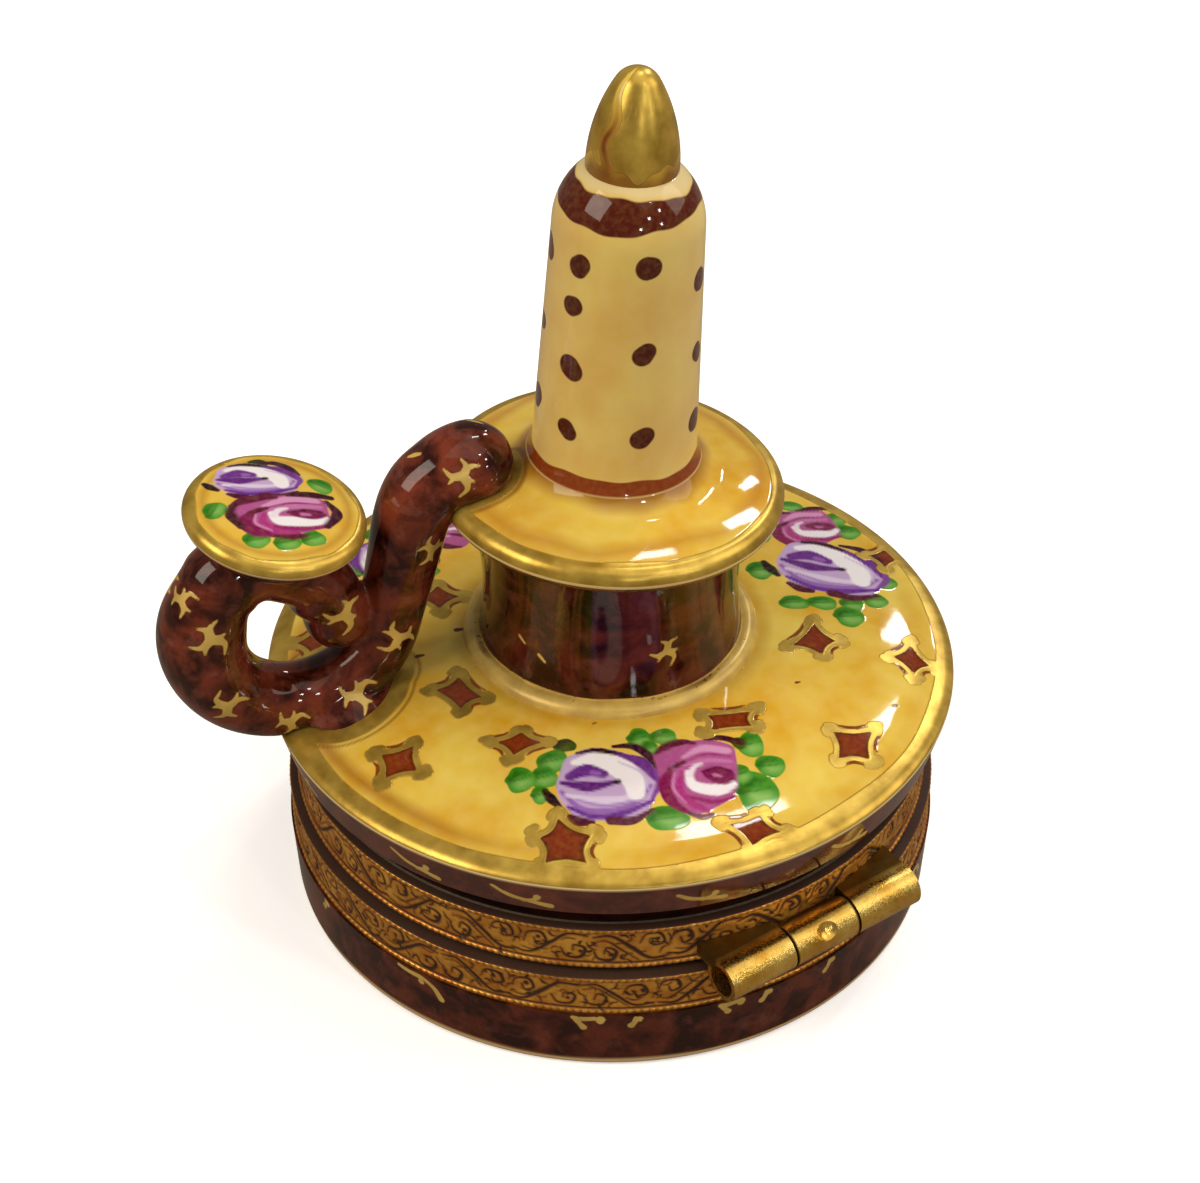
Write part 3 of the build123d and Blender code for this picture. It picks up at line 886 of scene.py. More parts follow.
def lozenge(brush: Brush, tips: tuple[Point, ...]) -> None:
    """Paint a red-brown lozenge with hollow sides, outlined by gold lines that curl past its tips.

    Args:
        brush: the brush.
        tips: the fill's corners, in order round it.
    """
    corners = [np.array(tip) for tip in tips]
    centre = sum(corners) / len(corners)
    # Each lozenge has a hand of its own, drawn from its place
    generator = random.Random(round(float(centre[0] * 31 + centre[1] * 17)))
    sides = []
    for a, b in zip(corners, corners[1:] + corners[:1]):
        middle = (a + b) / 2
        sides.append((a, middle + (centre - middle) * 0.2, b))
    for colour, scale, soft in (("4A1606", 1.1, 0.14), ("7A2C10", 0.84, 0.3)):
        scaled = [curve([centre + (p - centre) * scale for p in side], 0.2)[:-1] for side in sides]
        brush.enamel(colour, brush.shape(np.vstack(scaled)), soft)
    for a, middle, b in sides:
        run = (b - a) / np.linalg.norm(b - a)
        out_a, out_b, away = ((end - centre) / np.linalg.norm(end - centre) for end in (a, b, middle))
        # A dark trace of the fill shows outside some of the gold lines
        if generator.random() < 0.6:
            trace = [a + away * 0.55 + run * 0.3, middle + away * 0.5, b + away * 0.5 - run * 0.5]
            brush.enamel("7A3A12", brush.stroke(trace, (0.15, 0.36, 0.15)))
        long_a, long_b = generator.uniform(0.5, 1.05), generator.uniform(0.5, 1.05)
        points = [
            a + out_a * long_a * 0.8 + run * (0.3 + 0.35 * long_a),
            a + out_a * long_a + run * 0.24,
            a + out_a * 0.35 + run * 0.12,
            middle + away * 0.2,
            b + out_b * 0.35 - run * 0.12,
            b + out_b * long_b - run * 0.24,
            b + out_b * long_b * 0.8 - run * (0.3 + 0.35 * long_b),
        ]
        brush.gild(brush.stroke(points, (0.62, 0.5, 0.4, 0.4, 0.42, 0.5, 0.66)))


# A rose is a list of marks, in units of its half width and half height: the colour, the widths of
# a stroke (none for a filled shape) and the points
VIOLET_ROSE = (
    ("BFA2CB", (), [
        (-0.68, 0.76), (-0.26, 0.96), (0.16, 0.91), (0.57, 0.74), (0.94, 0.45), (1.05, 0.15), (0.99, -0.25),
        (0.8, -0.66), (0.43, -0.84), (0, -0.88), (-0.44, -0.83), (-0.72, -0.51), (-0.88, -0.06),
        (-0.82, 0.33),
    ]),
    ("8F62AC", (0.08, 0.16, 0.08), [(-0.79, -0.15), (-0.41, -0.58), (0.12, -0.66), (0.62, -0.43), (0.9, 0)]),
    ("D8C6DF", (0.08, 0.18, 0.08), [(-0.69, -0.24), (-0.16, -0.37), (0.37, -0.35), (0.74, -0.08)]),
    ("A383BC", (0.04, 0.08, 0.04), [(-0.5, -0.36), (0, -0.52), (0.5, -0.42)]),
    ("EDE7EA", (0.14, 0.46, 0.5, 0.34), [
        (-0.55, 0.62), (-0.1, 0.7), (0.28, 0.5), (0.55, 0.16), (0.62, -0.2),
    ]),
    ("C9B4D4", (0.03, 0.06, 0.03), [(0.3, 0.62), (0.72, 0.34), (0.84, -0.1)]),
    ("5C1F78", (0.1, 0.26, 0.1), [(-0.78, 0.08), (-0.26, -0.03), (0.2, 0.07)]),
    ("652786", (0.2, 0.32, 0.2), [(-0.63, 0.24), (-0.32, 0.4), (0, 0.3)]),
    ("8E58AA", (0.12, 0.1), [(-0.2, 0.33), (-0.08, 0.31)]),
    ("16021F", (0.11, 0.11), [(0.24, 0.09), (0.29, 0.1)]),
    ("2C0516", (0.08, 0.14, 0.12, 0.06), [(-0.49, 0.88), (-0.16, 0.96), (0.28, 0.86), (0.69, 0.68)]),
    ("6A2D86", (0.08, 0.26, 0.16), [(0.28, 0.84), (0.72, 0.62), (1.0, 0.2)]),
    ("37092A", (0.08, 0.18, 0.2, 0.1), [(0.19, 1.06), (0.57, 1.06), (0.88, 0.78), (1.05, 0.41)]),
    ("7A3F90", (0.1, 0.14, 0.08), [(0.99, 0.4), (1.06, 0.08), (0.93, -0.34)]),
    ("642890", (0.08, 0.12, 0.14, 0.08), [(-0.66, -0.54), (-0.16, -0.79), (0.37, -0.71), (0.93, -0.39)]),
    ("200714", (0.12, 0.22, 0.12), [(-1.1, -0.12), (-0.98, -0.32), (-0.82, -0.52)]),
    ("4A0A28", (0.1, 0.2, 0.12), [(-0.62, -0.76), (-0.4, -0.9), (-0.2, -0.92)]),
    ("510C2E", (0.2, 0.18, 0.08), [(0.14, -0.88), (0.55, -0.88), (0.94, -0.6)]),
)
MAGENTA_ROSE = (
    ("A9508A", (), [
        (-0.97, 0.61), (-0.41, 0.88), (0.28, 1.0), (0.87, 0.87), (0.98, 0.57), (0.99, 0.04), (0.93, -0.32),
        (0.61, -0.64), (0.01, -0.92), (-0.41, -0.83), (-0.72, -0.48), (-0.86, -0.06), (-0.94, 0.28),
    ]),
    ("CE8DB8", (0.08, 0.24, 0.2), [(-0.3, 0.5), (0.19, 0.76), (0.78, 0.72)]),
    ("8C2C66", (0.03, 0.07, 0.03), [(-0.2, 0.42), (0.26, 0.6), (0.85, 0.58)]),
    ("BC6FA4", (0.06, 0.14, 0.1), [(-0.26, 0.3), (0.26, 0.44), (0.85, 0.44)]),
    ("7A124A", (0.1, 0.32, 0.3, 0.14), [(-0.54, 0.24), (-0.75, -0.2), (-0.6, -0.62), (-0.26, -0.86)]),
    ("A52F78", (0.1, 0.2, 0.24, 0.14), [(-0.33, 0.1), (-0.4, -0.31), (-0.16, -0.62), (0.25, -0.82)]),
    ("CC86B4", (0.03, 0.06, 0.03), [(-0.5, 0.1), (-0.54, -0.3), (-0.26, -0.66)]),
    ("EBE5E8", (0.16, 0.3, 0.34, 0.2), [
        (-0.18, 0.1), (-0.08, -0.2), (0.27, -0.3), (0.62, -0.28), (0.88, -0.14),
    ]),
    ("E3D6E0", (0.16, 0.12, 0.06), [(-0.15, 0.04), (-0.03, 0.26), (0.15, 0.35)]),
    ("74104A", (), [(0.14, 0.16), (0.5, 0.27), (0.86, 0.2), (0.93, 0), (0.67, -0.16), (0.32, -0.07)]),
    ("B96A9C", (0.1, 0.08), [(0.44, 0.07), (0.58, 0.05)]),
    ("4E0630", (0.04, 0.07, 0.04), [(0.14, 0.16), (0.5, 0.27), (0.86, 0.2)]),
    ("8E1D60", (0.08, 0.14, 0.1), [(-0.17, -0.5), (0.41, -0.6), (0.89, -0.46)]),
    ("560C2C", (0.1, 0.16, 0.1), [(-0.19, -0.9), (0.12, -0.97), (0.4, -0.9)]),
    ("5A0E34", (0.1, 0.24, 0.22, 0.1), [(-0.95, 0.6), (-0.69, 0.8), (-0.28, 0.93), (-0.01, 0.9)]),
    ("38081E", (0.08, 0.18, 0.2, 0.14), [(0.24, 1.0), (0.6, 1.07), (0.96, 1.0), (1.14, 0.94)]),
    ("560830", (0.1, 0.14, 0.1), [(-0.62, 0.2), (-0.26, 0.38)]),
)


def rose(brush: Brush, marks: tuple, centre: Point, half: Point, turn: float = 0.0) -> None:
    """Paint a rose.

    Args:
        brush: the brush.
        marks: the rose's marks.
        centre: where it lies.
        half: its half width and half height, in millimetres.
        turn: how far it is turned, in degrees.
    """
    c, s = math.cos(math.radians(turn)), math.sin(math.radians(turn))
    for colour, widths, points in marks:
        laid = (np.array(points) * half) @ np.array([[c, s], [-s, c]]) + np.array(centre)
        if widths:
            brush.enamel(colour, brush.stroke(laid, tuple(width * half[0] for width in widths)))
        else:
            brush.enamel(colour, brush.shape(curve(laid, closed=True)))


def leaf(brush: Brush, centre: Point, length: float, width: float, turn: float, dark: float) -> None:
    """Paint a leaf in one press of a round brush, pale in its middle and darker where the brush left it.

    Args:
        brush: the brush.
        centre: where it lies.
        length: how long it is.
        width: how wide it is.
        turn: how far it is turned, in degrees.
        dark: how dark it is, from 0 to 1; from 0.6 it is a brown one.
    """
    c, s = math.cos(math.radians(turn)), math.sin(math.radians(turn))
    along, across = np.array([c, s]) * length / 2, np.array([-s, c]) * width / 2
    centre = np.array(centre)
    outline = []
    for step in range(9):
        a = math.tau * step / 9
        lump = 1 + 0.08 * math.sin(3 * a + 4 * length + centre[0])
        outline.append(centre + (along * math.cos(a) + across * math.sin(a)) * lump)
    body, pale, deep = ("3B8A22", "86B85C", "17640A") if dark < 0.6 else ("2C4A10", "4E5A1C", "241C06")
    brush.enamel(body, brush.shape(curve(outline, closed=True)))
    # The pale middle, the dark under side and the vein: points along and across, then the widths
    for colour, soft, widths, places in (
        (pale, 0.8, (width * 0.15, width * 0.32, width * 0.2), ((-0.35, -0.1), (0.05, -0.3), (0.5, -0.2))),
        (deep, 0.5, (width * 0.28, width * (0.2 + dark * 0.2), 0.1), ((-0.8, 0.0), (-0.3, 0.5), (0.35, 0.6))),
        (deep, 0.16, (0.1, 0.09, 0.04), ((-0.75, -0.1), (0.1, 0.08), (0.7, 0.3))),
    ):
        laid = [centre + along * forward + across * aside for forward, aside in places]
        brush.enamel(colour, brush.stroke(laid, widths), soft)


# A star's arms: where each one points in degrees, its length and its bend
STAR_ARMS = (
    (160, 1.05, 0.2), (95, 0.85, -0.25), (28, 1.0, 0.22),
    (-28, 0.7, -0.1), (262, 1.15, 0.3), (208, 0.85, -0.1),
)


def gold_star(brush: Brush, centre: Point, size: float, turn: float) -> None:
    """Dab a gold star with six uneven bent arms.

    Args:
        brush: the brush.
        centre: where it lies.
        size: how far its arms reach.
        turn: how far it is turned, in degrees.
    """
    centre = np.array(centre)
    for angle, length, bend in STAR_ARMS:
        a = math.radians(angle + turn)
        tip = np.array([math.cos(a), math.sin(a)]) * length * size
        side = np.array([-tip[1], tip[0]]) * bend
        arm = [centre, centre + tip * 0.55 + side, centre + tip]
        brush.gild(brush.stroke(arm, (size * 0.5, size * 0.3, 0.16)))


class Flourish(Enum):
    """The gold flourishes that hang from a band, each by its strokes from its upper left end."""

    ARC_AND_KNOB = (
        ((-0.3, 0), (0.7, -0.1), (1.6, -0.1), (2.5, -0.6), (3.0, -1.4)), ((1.5, -0.2), (1.5, -0.5)),
    )
    BAR_ON_LEGS = (((0, 0), (0.9, -0.15), (2.4, 0), (2.3, -0.4)), ((0.15, -0.1), (0.5, -0.6), (0.9, -1.2)))
    DROP = (((0.2, 0), (0.1, -0.5), (-0.2, -0.9)), ((0.2, -0.1), (0.5, -0.15)))
    BRANCH = (((-0.4, 1.1), (0.6, 0.4), (1.7, 0.1), (3.3, -0.2)), ((1.6, 0), (2.3, 0.3), (2.5, 0.7)))


def hang_flourish(brush: Brush, start: Point, size: float, kind: Flourish) -> None:
    """Draw one gold flourish.

    Args:
        brush: the brush.
        start: its upper left end.
        size: its scale, 1 being about 3 mm long.
        kind: which one it is.
    """
    for points in kind.value:
        laid = [(start[0] + x * size, start[1] + y * size) for x, y in points]
        brush.gild(brush.stroke(laid, (0.34, 0.42, 0.36, 0.52)))


# ---- Porcelain pieces ----

LeafMark = tuple[Point, float, float, float, float]  # centre, length, width, turn and how dark it is


def wobble(angle: np.ndarray, amount: float, phase: float = 0.0) -> np.ndarray:
    """A hand's unevenness along a painted line round a piece, in millimetres."""
    finer = 0.6 * np.sin(7 * angle + 2 * phase)
    return amount * (np.sin(3 * angle + phase) + finer + 0.4 * np.sin(13 * angle + 1))


def detail(steps: int) -> int:
    """How many facets a turned piece gets."""
    return steps


def turned_chart(points: np.ndarray, degrees: float) -> tuple[np.ndarray, np.ndarray]:
    """Lay a level chart turned about the upright axis by some degrees, and return its u and v."""
    c, s = math.cos(math.radians(degrees)), math.sin(math.radians(degrees))
    return points[:, 0] * c + points[:, 1] * s, points[:, 1] * c - points[:, 0] * s


@dataclass
class StickFrame:
    """The leaning axis of the pan, candle and flame."""

    seat_height: float = 30.3
    lean: float = 3.4

    def matrix(self) -> Matrix:
        """Work out the frame's place.

        Returns:
            Its matrix: the origin on the neck's top, local Z up the stick.
        """
        out, side = (Vector(axis) for axis in handle_axes())
        lean = math.radians(self.lean)
        up = Vector((0, 0, 1)) * math.cos(lean) - out * math.sin(lean)
        across = side.cross(up)
        rotation = Matrix((across, side, up)).transposed()
        return Matrix.Translation((0, 0, self.seat_height * MM)) @ rotation.to_4x4()


def distance_to_node(points: np.ndarray, name: str, reach: float) -> np.ndarray:
    """Measure how far points lie from a CAD node's surface.

    Args:
        points: the points, in millimetres.
        name: the node.
        reach: the greatest distance of interest.

    Returns:
        The distances, none over the reach.
    """
    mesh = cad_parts[name].data
    mesh.calc_loop_triangles()
    tree = BVHTree.FromPolygons(
        [vertex.co / MM for vertex in mesh.vertices], [tuple(tri.vertices) for tri in mesh.loop_triangles]
    )
    gaps = np.full(len(points), reach)
    low = np.array([min(v.co[axis] for v in mesh.vertices) / MM - reach for axis in range(3)])
    high = np.array([max(v.co[axis] for v in mesh.vertices) / MM + reach for axis in range(3)])
    for index in np.flatnonzero(((points > low) & (points < high)).all(axis=1)):
        hit = tree.find_nearest(Vector(points[index]), reach)
        if hit[3] is not None:
            gaps[index] = hit[3]
    return gaps


@dataclass
class BaseBowl:
    """The slip-cast bowl with its flat foot."""

    foot_radius: float = 23.1
    radius: float = 23.3
    band_bottom: float = 5.1
    rim_radius: float = 22.3
    rim_top: float = 7.7
    bore: float = 19.6
    floor: float = 2.2
    corner: float = 3.0
    foot_round: float = 0.6
    foot_line: float = 0.78
    steps: int = 900
    # Where the gold flourishes of each kind start, in degrees, and their sizes
    flourishes: tuple[tuple[Flourish, tuple[Point, ...]], ...] = (
        (Flourish.DROP, (
            (-4.0, 0.9), (58.5, 0.8), (81.0, 0.8), (94.0, 0.9), (188.0, 0.8), (258.0, 0.7), (333.0, 0.8),
        )),
        (Flourish.ARC_AND_KNOB, ((17.5, 1.05), (118.0, 1.0), (162.0, 0.9), (232.0, 1.0), (305.0, 1.0))),
        (Flourish.BAR_ON_LEGS, ((48.5, 0.8), (73.0, 0.65), (139.0, 0.8), (205.0, 1.0), (280.0, 0.9))),
    )

    def build(self, material: bpy.types.Material) -> None:
        """Turn the bowl, glaze it and paint it.

        Args:
            material: its glaze.
        """
        outline = Profile(0, 0, step=4.0).line(self.foot_radius - self.foot_round - 1, 0)
        outline.every(0.16).line(self.foot_radius - self.foot_round, 0)
        outline.facing(1, 0).turn(self.foot_round, 90).line(self.radius, self.band_bottom)
        outline.every(2.0).line(self.rim_radius, self.band_bottom).line(self.rim_radius, self.rim_top)
        outline.line(self.bore, self.rim_top).line(self.bore, self.floor + self.corner)
        outline.every(0.7).facing(0, -1).turn(self.corner, -90)
        outline.every(4.0).line(0, self.floor)
        bowl = outline.spun("base_bowl_glazed", detail(self.steps))
        self.paint(Canvas(bowl))
        finish_piece(bowl, material, Body.BASE, "base_bowl")

    def paint(self, canvas: Canvas) -> None:
        """Paint it brown outside over a tan foot line, with gold flourishes hanging from the band.

        Args:
            canvas: the bowl's canvas.
        """
        radius, angle, z = canvas.turned()
        outside = (radius > self.rim_radius + 0.15) & (z < self.band_bottom + 0.1)
        canvas.ground[outside] = Ground.BROWN.value
        canvas.stain_and_painted_light("1E0502", 0.42 * outside)
        foot = np.clip((self.foot_line - z + wobble(angle, 0.04)) / 0.14, 0, 1)
        canvas.stain_and_painted_light("DAB67E", foot * (radius > self.foot_radius - 1.5))
        brush = Brush.round_wall(canvas, self.radius, outside)
        for kind, places in self.flourishes:
            for degrees, size in places:
                start = (math.radians(degrees) * self.radius, self.band_bottom - 0.25)
                hang_flourish(brush, start, size, kind)
        canvas.write()


@dataclass
class LidDish:
    """The round porcelain top of the lid."""

    bore: float = 20.2
    rim_radius: float = 21.7
    rim_bottom: float = 9.5
    band_bottom: float = 14.6
    band_radius: float = 23.3
    band_top: float = 17.3
    radius: float = 24.0
    rim_width: float = 2.6
    rim_height: float = 0.9
    neck_radius: float = 10.25
    top: float = 19.7
    crown: float = 0.35
    ceiling: float = 15.7
    corner: float = 2.6
    steps: int = 820
    gold_from: float = 22.65
    rim_stain_and_shade: float = 21.9
    foot_gold: float = 1.05
    lozenges: tuple[tuple[Point, ...], ...] = (
        ((-15.35, -12.4), (-13.1, -11.9), (-12.7, -14.2), (-14.9, -14.5)),
        ((-7.9, -12.1), (-6.0, -11.4), (-4.2, -12.3), (-6.4, -13.4)),
        ((-3.5, -18.7), (-1.4, -20.1), (-1.6, -22.3), (-4.3, -22.2), (-4.6, -20.2)),
        ((-10.3, -5.6), (-8.6, -7.8), (-10.1, -8.9), (-12.0, -6.9)),
        ((-12.3, 4.6), (-10.6, 3.2), (-12.0, 1.8), (-13.6, 3.2)),
        ((-20.6, 1.4), (-19.2, -0.2), (-20.8, -1.7), (-22.0, -0.1)),
        ((14.2, 0.4), (15.6, -1.5), (14.6, -3.1), (12.5, -2.3)),
        ((21.0, -0.6), (22.1, -2.8), (20.9, -3.9), (19.6, -2.4)),
        ((20.3, 10.9), (21.2, 9.6), (20.0, 8.3), (18.9, 9.7)),
        ((6.4, -9.7), (9.5, -9.1), (9.3, -10.7), (6.5, -11.3)),
        ((14.8, -10.6), (17.6, -10.0), (17.1, -12.6), (15.0, -13.0)),
        ((7.4, -19.0), (9.5, -18.3), (11.0, -19.4), (9.0, -20.7)),
        ((6.6, 14.6), (8.4, 13.4), (7.4, 11.6), (5.4, 12.9)),
        ((-0.6, 19.8), (1.4, 18.6), (0.2, 16.9), (-1.9, 18.0)),
        ((-12.6, 18.4), (-10.8, 17.2), (-12.2, 15.8), (-13.9, 17.0)),
        ((-3.4, 13.6), (-1.6, 12.7), (-2.9, 11.3), (-4.6, 12.4)),
    )
    roses: tuple[tuple[tuple, Point, Point, float], ...] = (
        (VIOLET_ROSE, (-0.55, -16.2), (3.45, 3.2), 0.0),
        (MAGENTA_ROSE, (5.5, -15.4), (2.75, 3.3), 0.0),
        (MAGENTA_ROSE, (14.2, 12.2), (2.9, 2.7), 20.0),
        (VIOLET_ROSE, (15.6, 7.0), (4.1, 3.4), -8.0),
        (VIOLET_ROSE, (-15.6, 8.9), (3.2, 3.0), 140.0),
        (MAGENTA_ROSE, (-11.2, 12.4), (2.8, 2.9), 130.0),
    )
    leaves: tuple[LeafMark, ...] = (
        ((1.87, -12.06), 1.64, 2.0, 0, 0.3), ((3.46, -11.87), 1.8, 1.55, 0, 0.3),
        ((2.51, -12.95), 1.1, 1.5, 0, 0.5), ((9.23, -12.36), 1.75, 2.4, 0, 0.3),
        ((10.46, -14.13), 2.0, 1.9, 0, 0.2), ((9.48, -16.34), 2.7, 3.3, 0, 0.2),
        ((8.45, -12.28), 1.0, 1.1, 0, 0.9), ((8.51, -14.97), 1.1, 1.7, 0, 0.5),
        ((3.59, -18.81), 2.8, 1.9, 0, 0.4), ((-3.07, -12.67), 1.6, 1.2, 0, 0.9),
        ((-3.85, -14.05), 2.1, 1.9, 0, 0.3), ((-4.45, -15.45), 1.9, 1.9, 0, 0.4),
        ((-5.93, -15.57), 1.9, 2.2, 0, 0.5), ((-4.63, -16.88), 1.2, 1.5, 0, 0.2),
        ((12.98, 2.5), 2.2, 1.6, 0, 0.3), ((15.0, 2.7), 2.2, 1.6, 0, 0.5),
        ((17.12, 2.91), 1.8, 1.6, 0, 0.3), ((16.82, 1.4), 2.2, 2.3, 0, 0.3),
        ((18.84, 3.81), 1.9, 1.9, 0, 0.4), ((13.4, 15.6), 2.4, 1.6, 0, 0.3),
        ((17.6, 12.6), 2.0, 2.0, 0, 0.3), ((16.8, 14.3), 1.8, 1.7, 20, 0.5),
        ((10.8, 6.2), 2.0, 2.2, 0, 0.4), ((10.9, 10.6), 1.9, 1.8, 20, 0.4),
        ((19.9, 6.3), 1.6, 1.8, 0, 0.3), ((-18.9, 10.4), 2.0, 2.0, 40, 0.3),
        ((-18.7, 7.4), 1.9, 1.8, -20, 0.4), ((-13.9, 15.1), 2.0, 1.8, 60, 0.3),
        ((-8.2, 15.2), 2.2, 1.9, 30, 0.4), ((-7.9, 11.6), 1.9, 1.7, -30, 0.5),
        ((-13.2, 6.2), 2.0, 1.5, 10, 0.3), ((-17.3, 12.6), 1.8, 1.6, 30, 0.4),
    )
    # Each speck's place and width
    specks: tuple[tuple[float, float, float], ...] = (
        (-13.3, -3.3, 0.4), (-10.7, -0.6, 0.45), (12.6, -6.2, 0.25), (19.2, -7.4, 0.3), (-1.2, -10.6, 0.2),
    )
    # Where each gold flourish on the skirt starts, in degrees, and its size
    flourishes: tuple[Point, ...] = (
        (19.0, 0.9), (37.2, 1.0), (66.0, 0.85), (93.0, 0.9), (121.0, 1.0), (148.0, 0.9), (177.0, 1.0),
        (206.0, 0.9), (236.0, 1.0), (265.0, 0.9), (292.0, 1.0), (322.0, 0.9), (350.0, 0.9),
    )

    def build(self, material: bpy.types.Material) -> None:
        """Turn the dish, glaze it and paint it.

        Args:
            material: its glaze.
        """
        outline = Profile(0, self.ceiling, step=5.0).line(self.bore - self.corner, self.ceiling)
        outline.every(0.8).turn(self.corner, -90)
        outline.every(2.5).line(self.bore, self.rim_bottom).line(self.rim_radius, self.rim_bottom)
        outline.line(self.rim_radius, self.band_bottom).line(self.band_radius - 0.3, self.band_bottom)
        outline.every(0.2).line(self.band_radius, self.band_bottom).line(self.radius, self.band_top)
        # The rolled edge, a quarter of an ellipse
        edge = len(outline.points) - 1
        inner = self.radius - self.rim_width
        for k in range(1, 16):
            angle = math.radians(90 * k / 15)
            across, up = self.rim_width * math.cos(angle), self.rim_height * math.sin(angle)
            outline.points.append(np.array([inner + across, self.band_top + up]))
        # The top rises to the neck in a shallow crown
        chord = np.array([self.neck_radius - inner, self.top - self.band_top - self.rim_height])
        middle = np.array([(inner + self.neck_radius) / 2, (self.top + self.band_top + self.rim_height) / 2])
        normal = np.array([chord[1], -chord[0]]) / np.linalg.norm(chord)
        outline.every(0.165).arc_through(tuple(middle + normal * self.crown), (self.neck_radius, self.top))
        outline.softened(edge + 7, edge + 30, 10)
        outline.line(self.neck_radius - 0.65, self.top).every(5.0).line(0, self.top)
        dish = outline.spun("lid_dish_painted", detail(self.steps))
        self.paint(Canvas(dish))
        finish_piece(dish, material, Body.LID, "lid_dish")

    def paint(self, canvas: Canvas) -> None:
        """Glaze it yellow on top and brown on its skirt, then decorate both.

        Args:
            canvas: the dish's canvas.
        """
        radius, angle, z = canvas.turned()
        top = z > self.band_top + 0.05
        skirt = ~top & (radius > self.rim_radius + 0.9)
        shaded_recess = (radius > self.rim_radius - 0.2) & (radius < self.rim_radius + 0.9)
        canvas.ground[top] = Ground.YELLOW.value
        outside = (z > self.rim_bottom + 1.5) & (radius > self.rim_radius - 0.2)
        canvas.ground[~top & outside] = Ground.BROWN.value
        # The undercut below the skirt is stained near black as painted shade.
        canvas.stain_and_painted_light("0C0302", (shaded_recess & (z < self.band_bottom + 0.1)) * 0.9)
        rim_inner = self.gold_from + wobble(angle, 0.12)
        canvas.gild_where(np.where(top, np.minimum(radius - rim_inner, (z - self.band_top - 0.16) * 2), -1))
        # A cream edge where the glazes meet, and a brown stain along the gold: faint all round, and strong on
        # the handle's side as painted shade
        cream = stripe(z - self.band_top - 0.02, 0.17) * (radius > self.band_radius - 0.1)
        canvas.stain_and_painted_light("E2CB92", cream * 1.6)
        u, v = turned_chart(canvas.points, VIEW_TURN)
        # Stronger towards the handle's side of the dish, where the stain is painted shade.
        side = np.clip((-u - 3) / 12, 0, 1) * np.clip((-v + 6) / 8, 0, 1)
        stain_and_painted_light = stripe(radius - self.rim_stain_and_shade - wobble(angle, 0.2, 2), 0.9)
        canvas.stain_and_painted_light("8E4C0E", stain_and_painted_light * (0.1 + 0.6 * side) * top)
        # The glaze pools about the neck's foot
        canvas.stain_and_painted_light("A87A1E", np.clip(1.3 - (radius - self.neck_radius) / 0.9, 0, 1) * 0.45 * top)
        # A paler purple-brown tint over the whole skirt is a painted reflection.
        canvas.stain_and_painted_light("5C2C22", 0.5 * skirt)
        # The handle's spread foot is outlined in gold on the dish
        gap = np.full(len(z), 5.0)
        near = top & (u < -8)
        gap[near] = distance_to_node(canvas.points[near], "scroll_handle", 2.4)
        canvas.gild_where(np.where(top, self.foot_gold + wobble(angle * 4, 0.06) - gap, -1))
        canvas.stain_and_painted_light("6E3A0C", stripe(gap - self.foot_gold - 0.25, 0.16) * 0.75)
        self.paint_flowers(Brush(canvas, u, v, top & (radius > self.neck_radius - 0.35)))
        brush = Brush.round_wall(canvas, self.band_radius, skirt)
        for degrees, size in self.flourishes:
            start = (math.radians(degrees) * self.band_radius, self.band_bottom + 0.75)
            hang_flourish(brush, start, size, Flourish.BRANCH)
        canvas.write()

    def paint_flowers(self, brush: Brush) -> None:
        """Paint the lozenges, then the leaves, the roses over them and the specks.

        Args:
            brush: a brush for the dish's top.
        """
        for tips in self.lozenges:
            lozenge(brush, tips)
        for mark in self.leaves:
            leaf(brush, *mark)
        for marks, centre, half, turn in self.roses:
            rose(brush, marks, centre, half, turn)
        for u, v, width in self.specks:
            brush.enamel("4A2410", brush.stroke([(u, v), (u + width, v + 0.1)], (width, width * 0.6)))


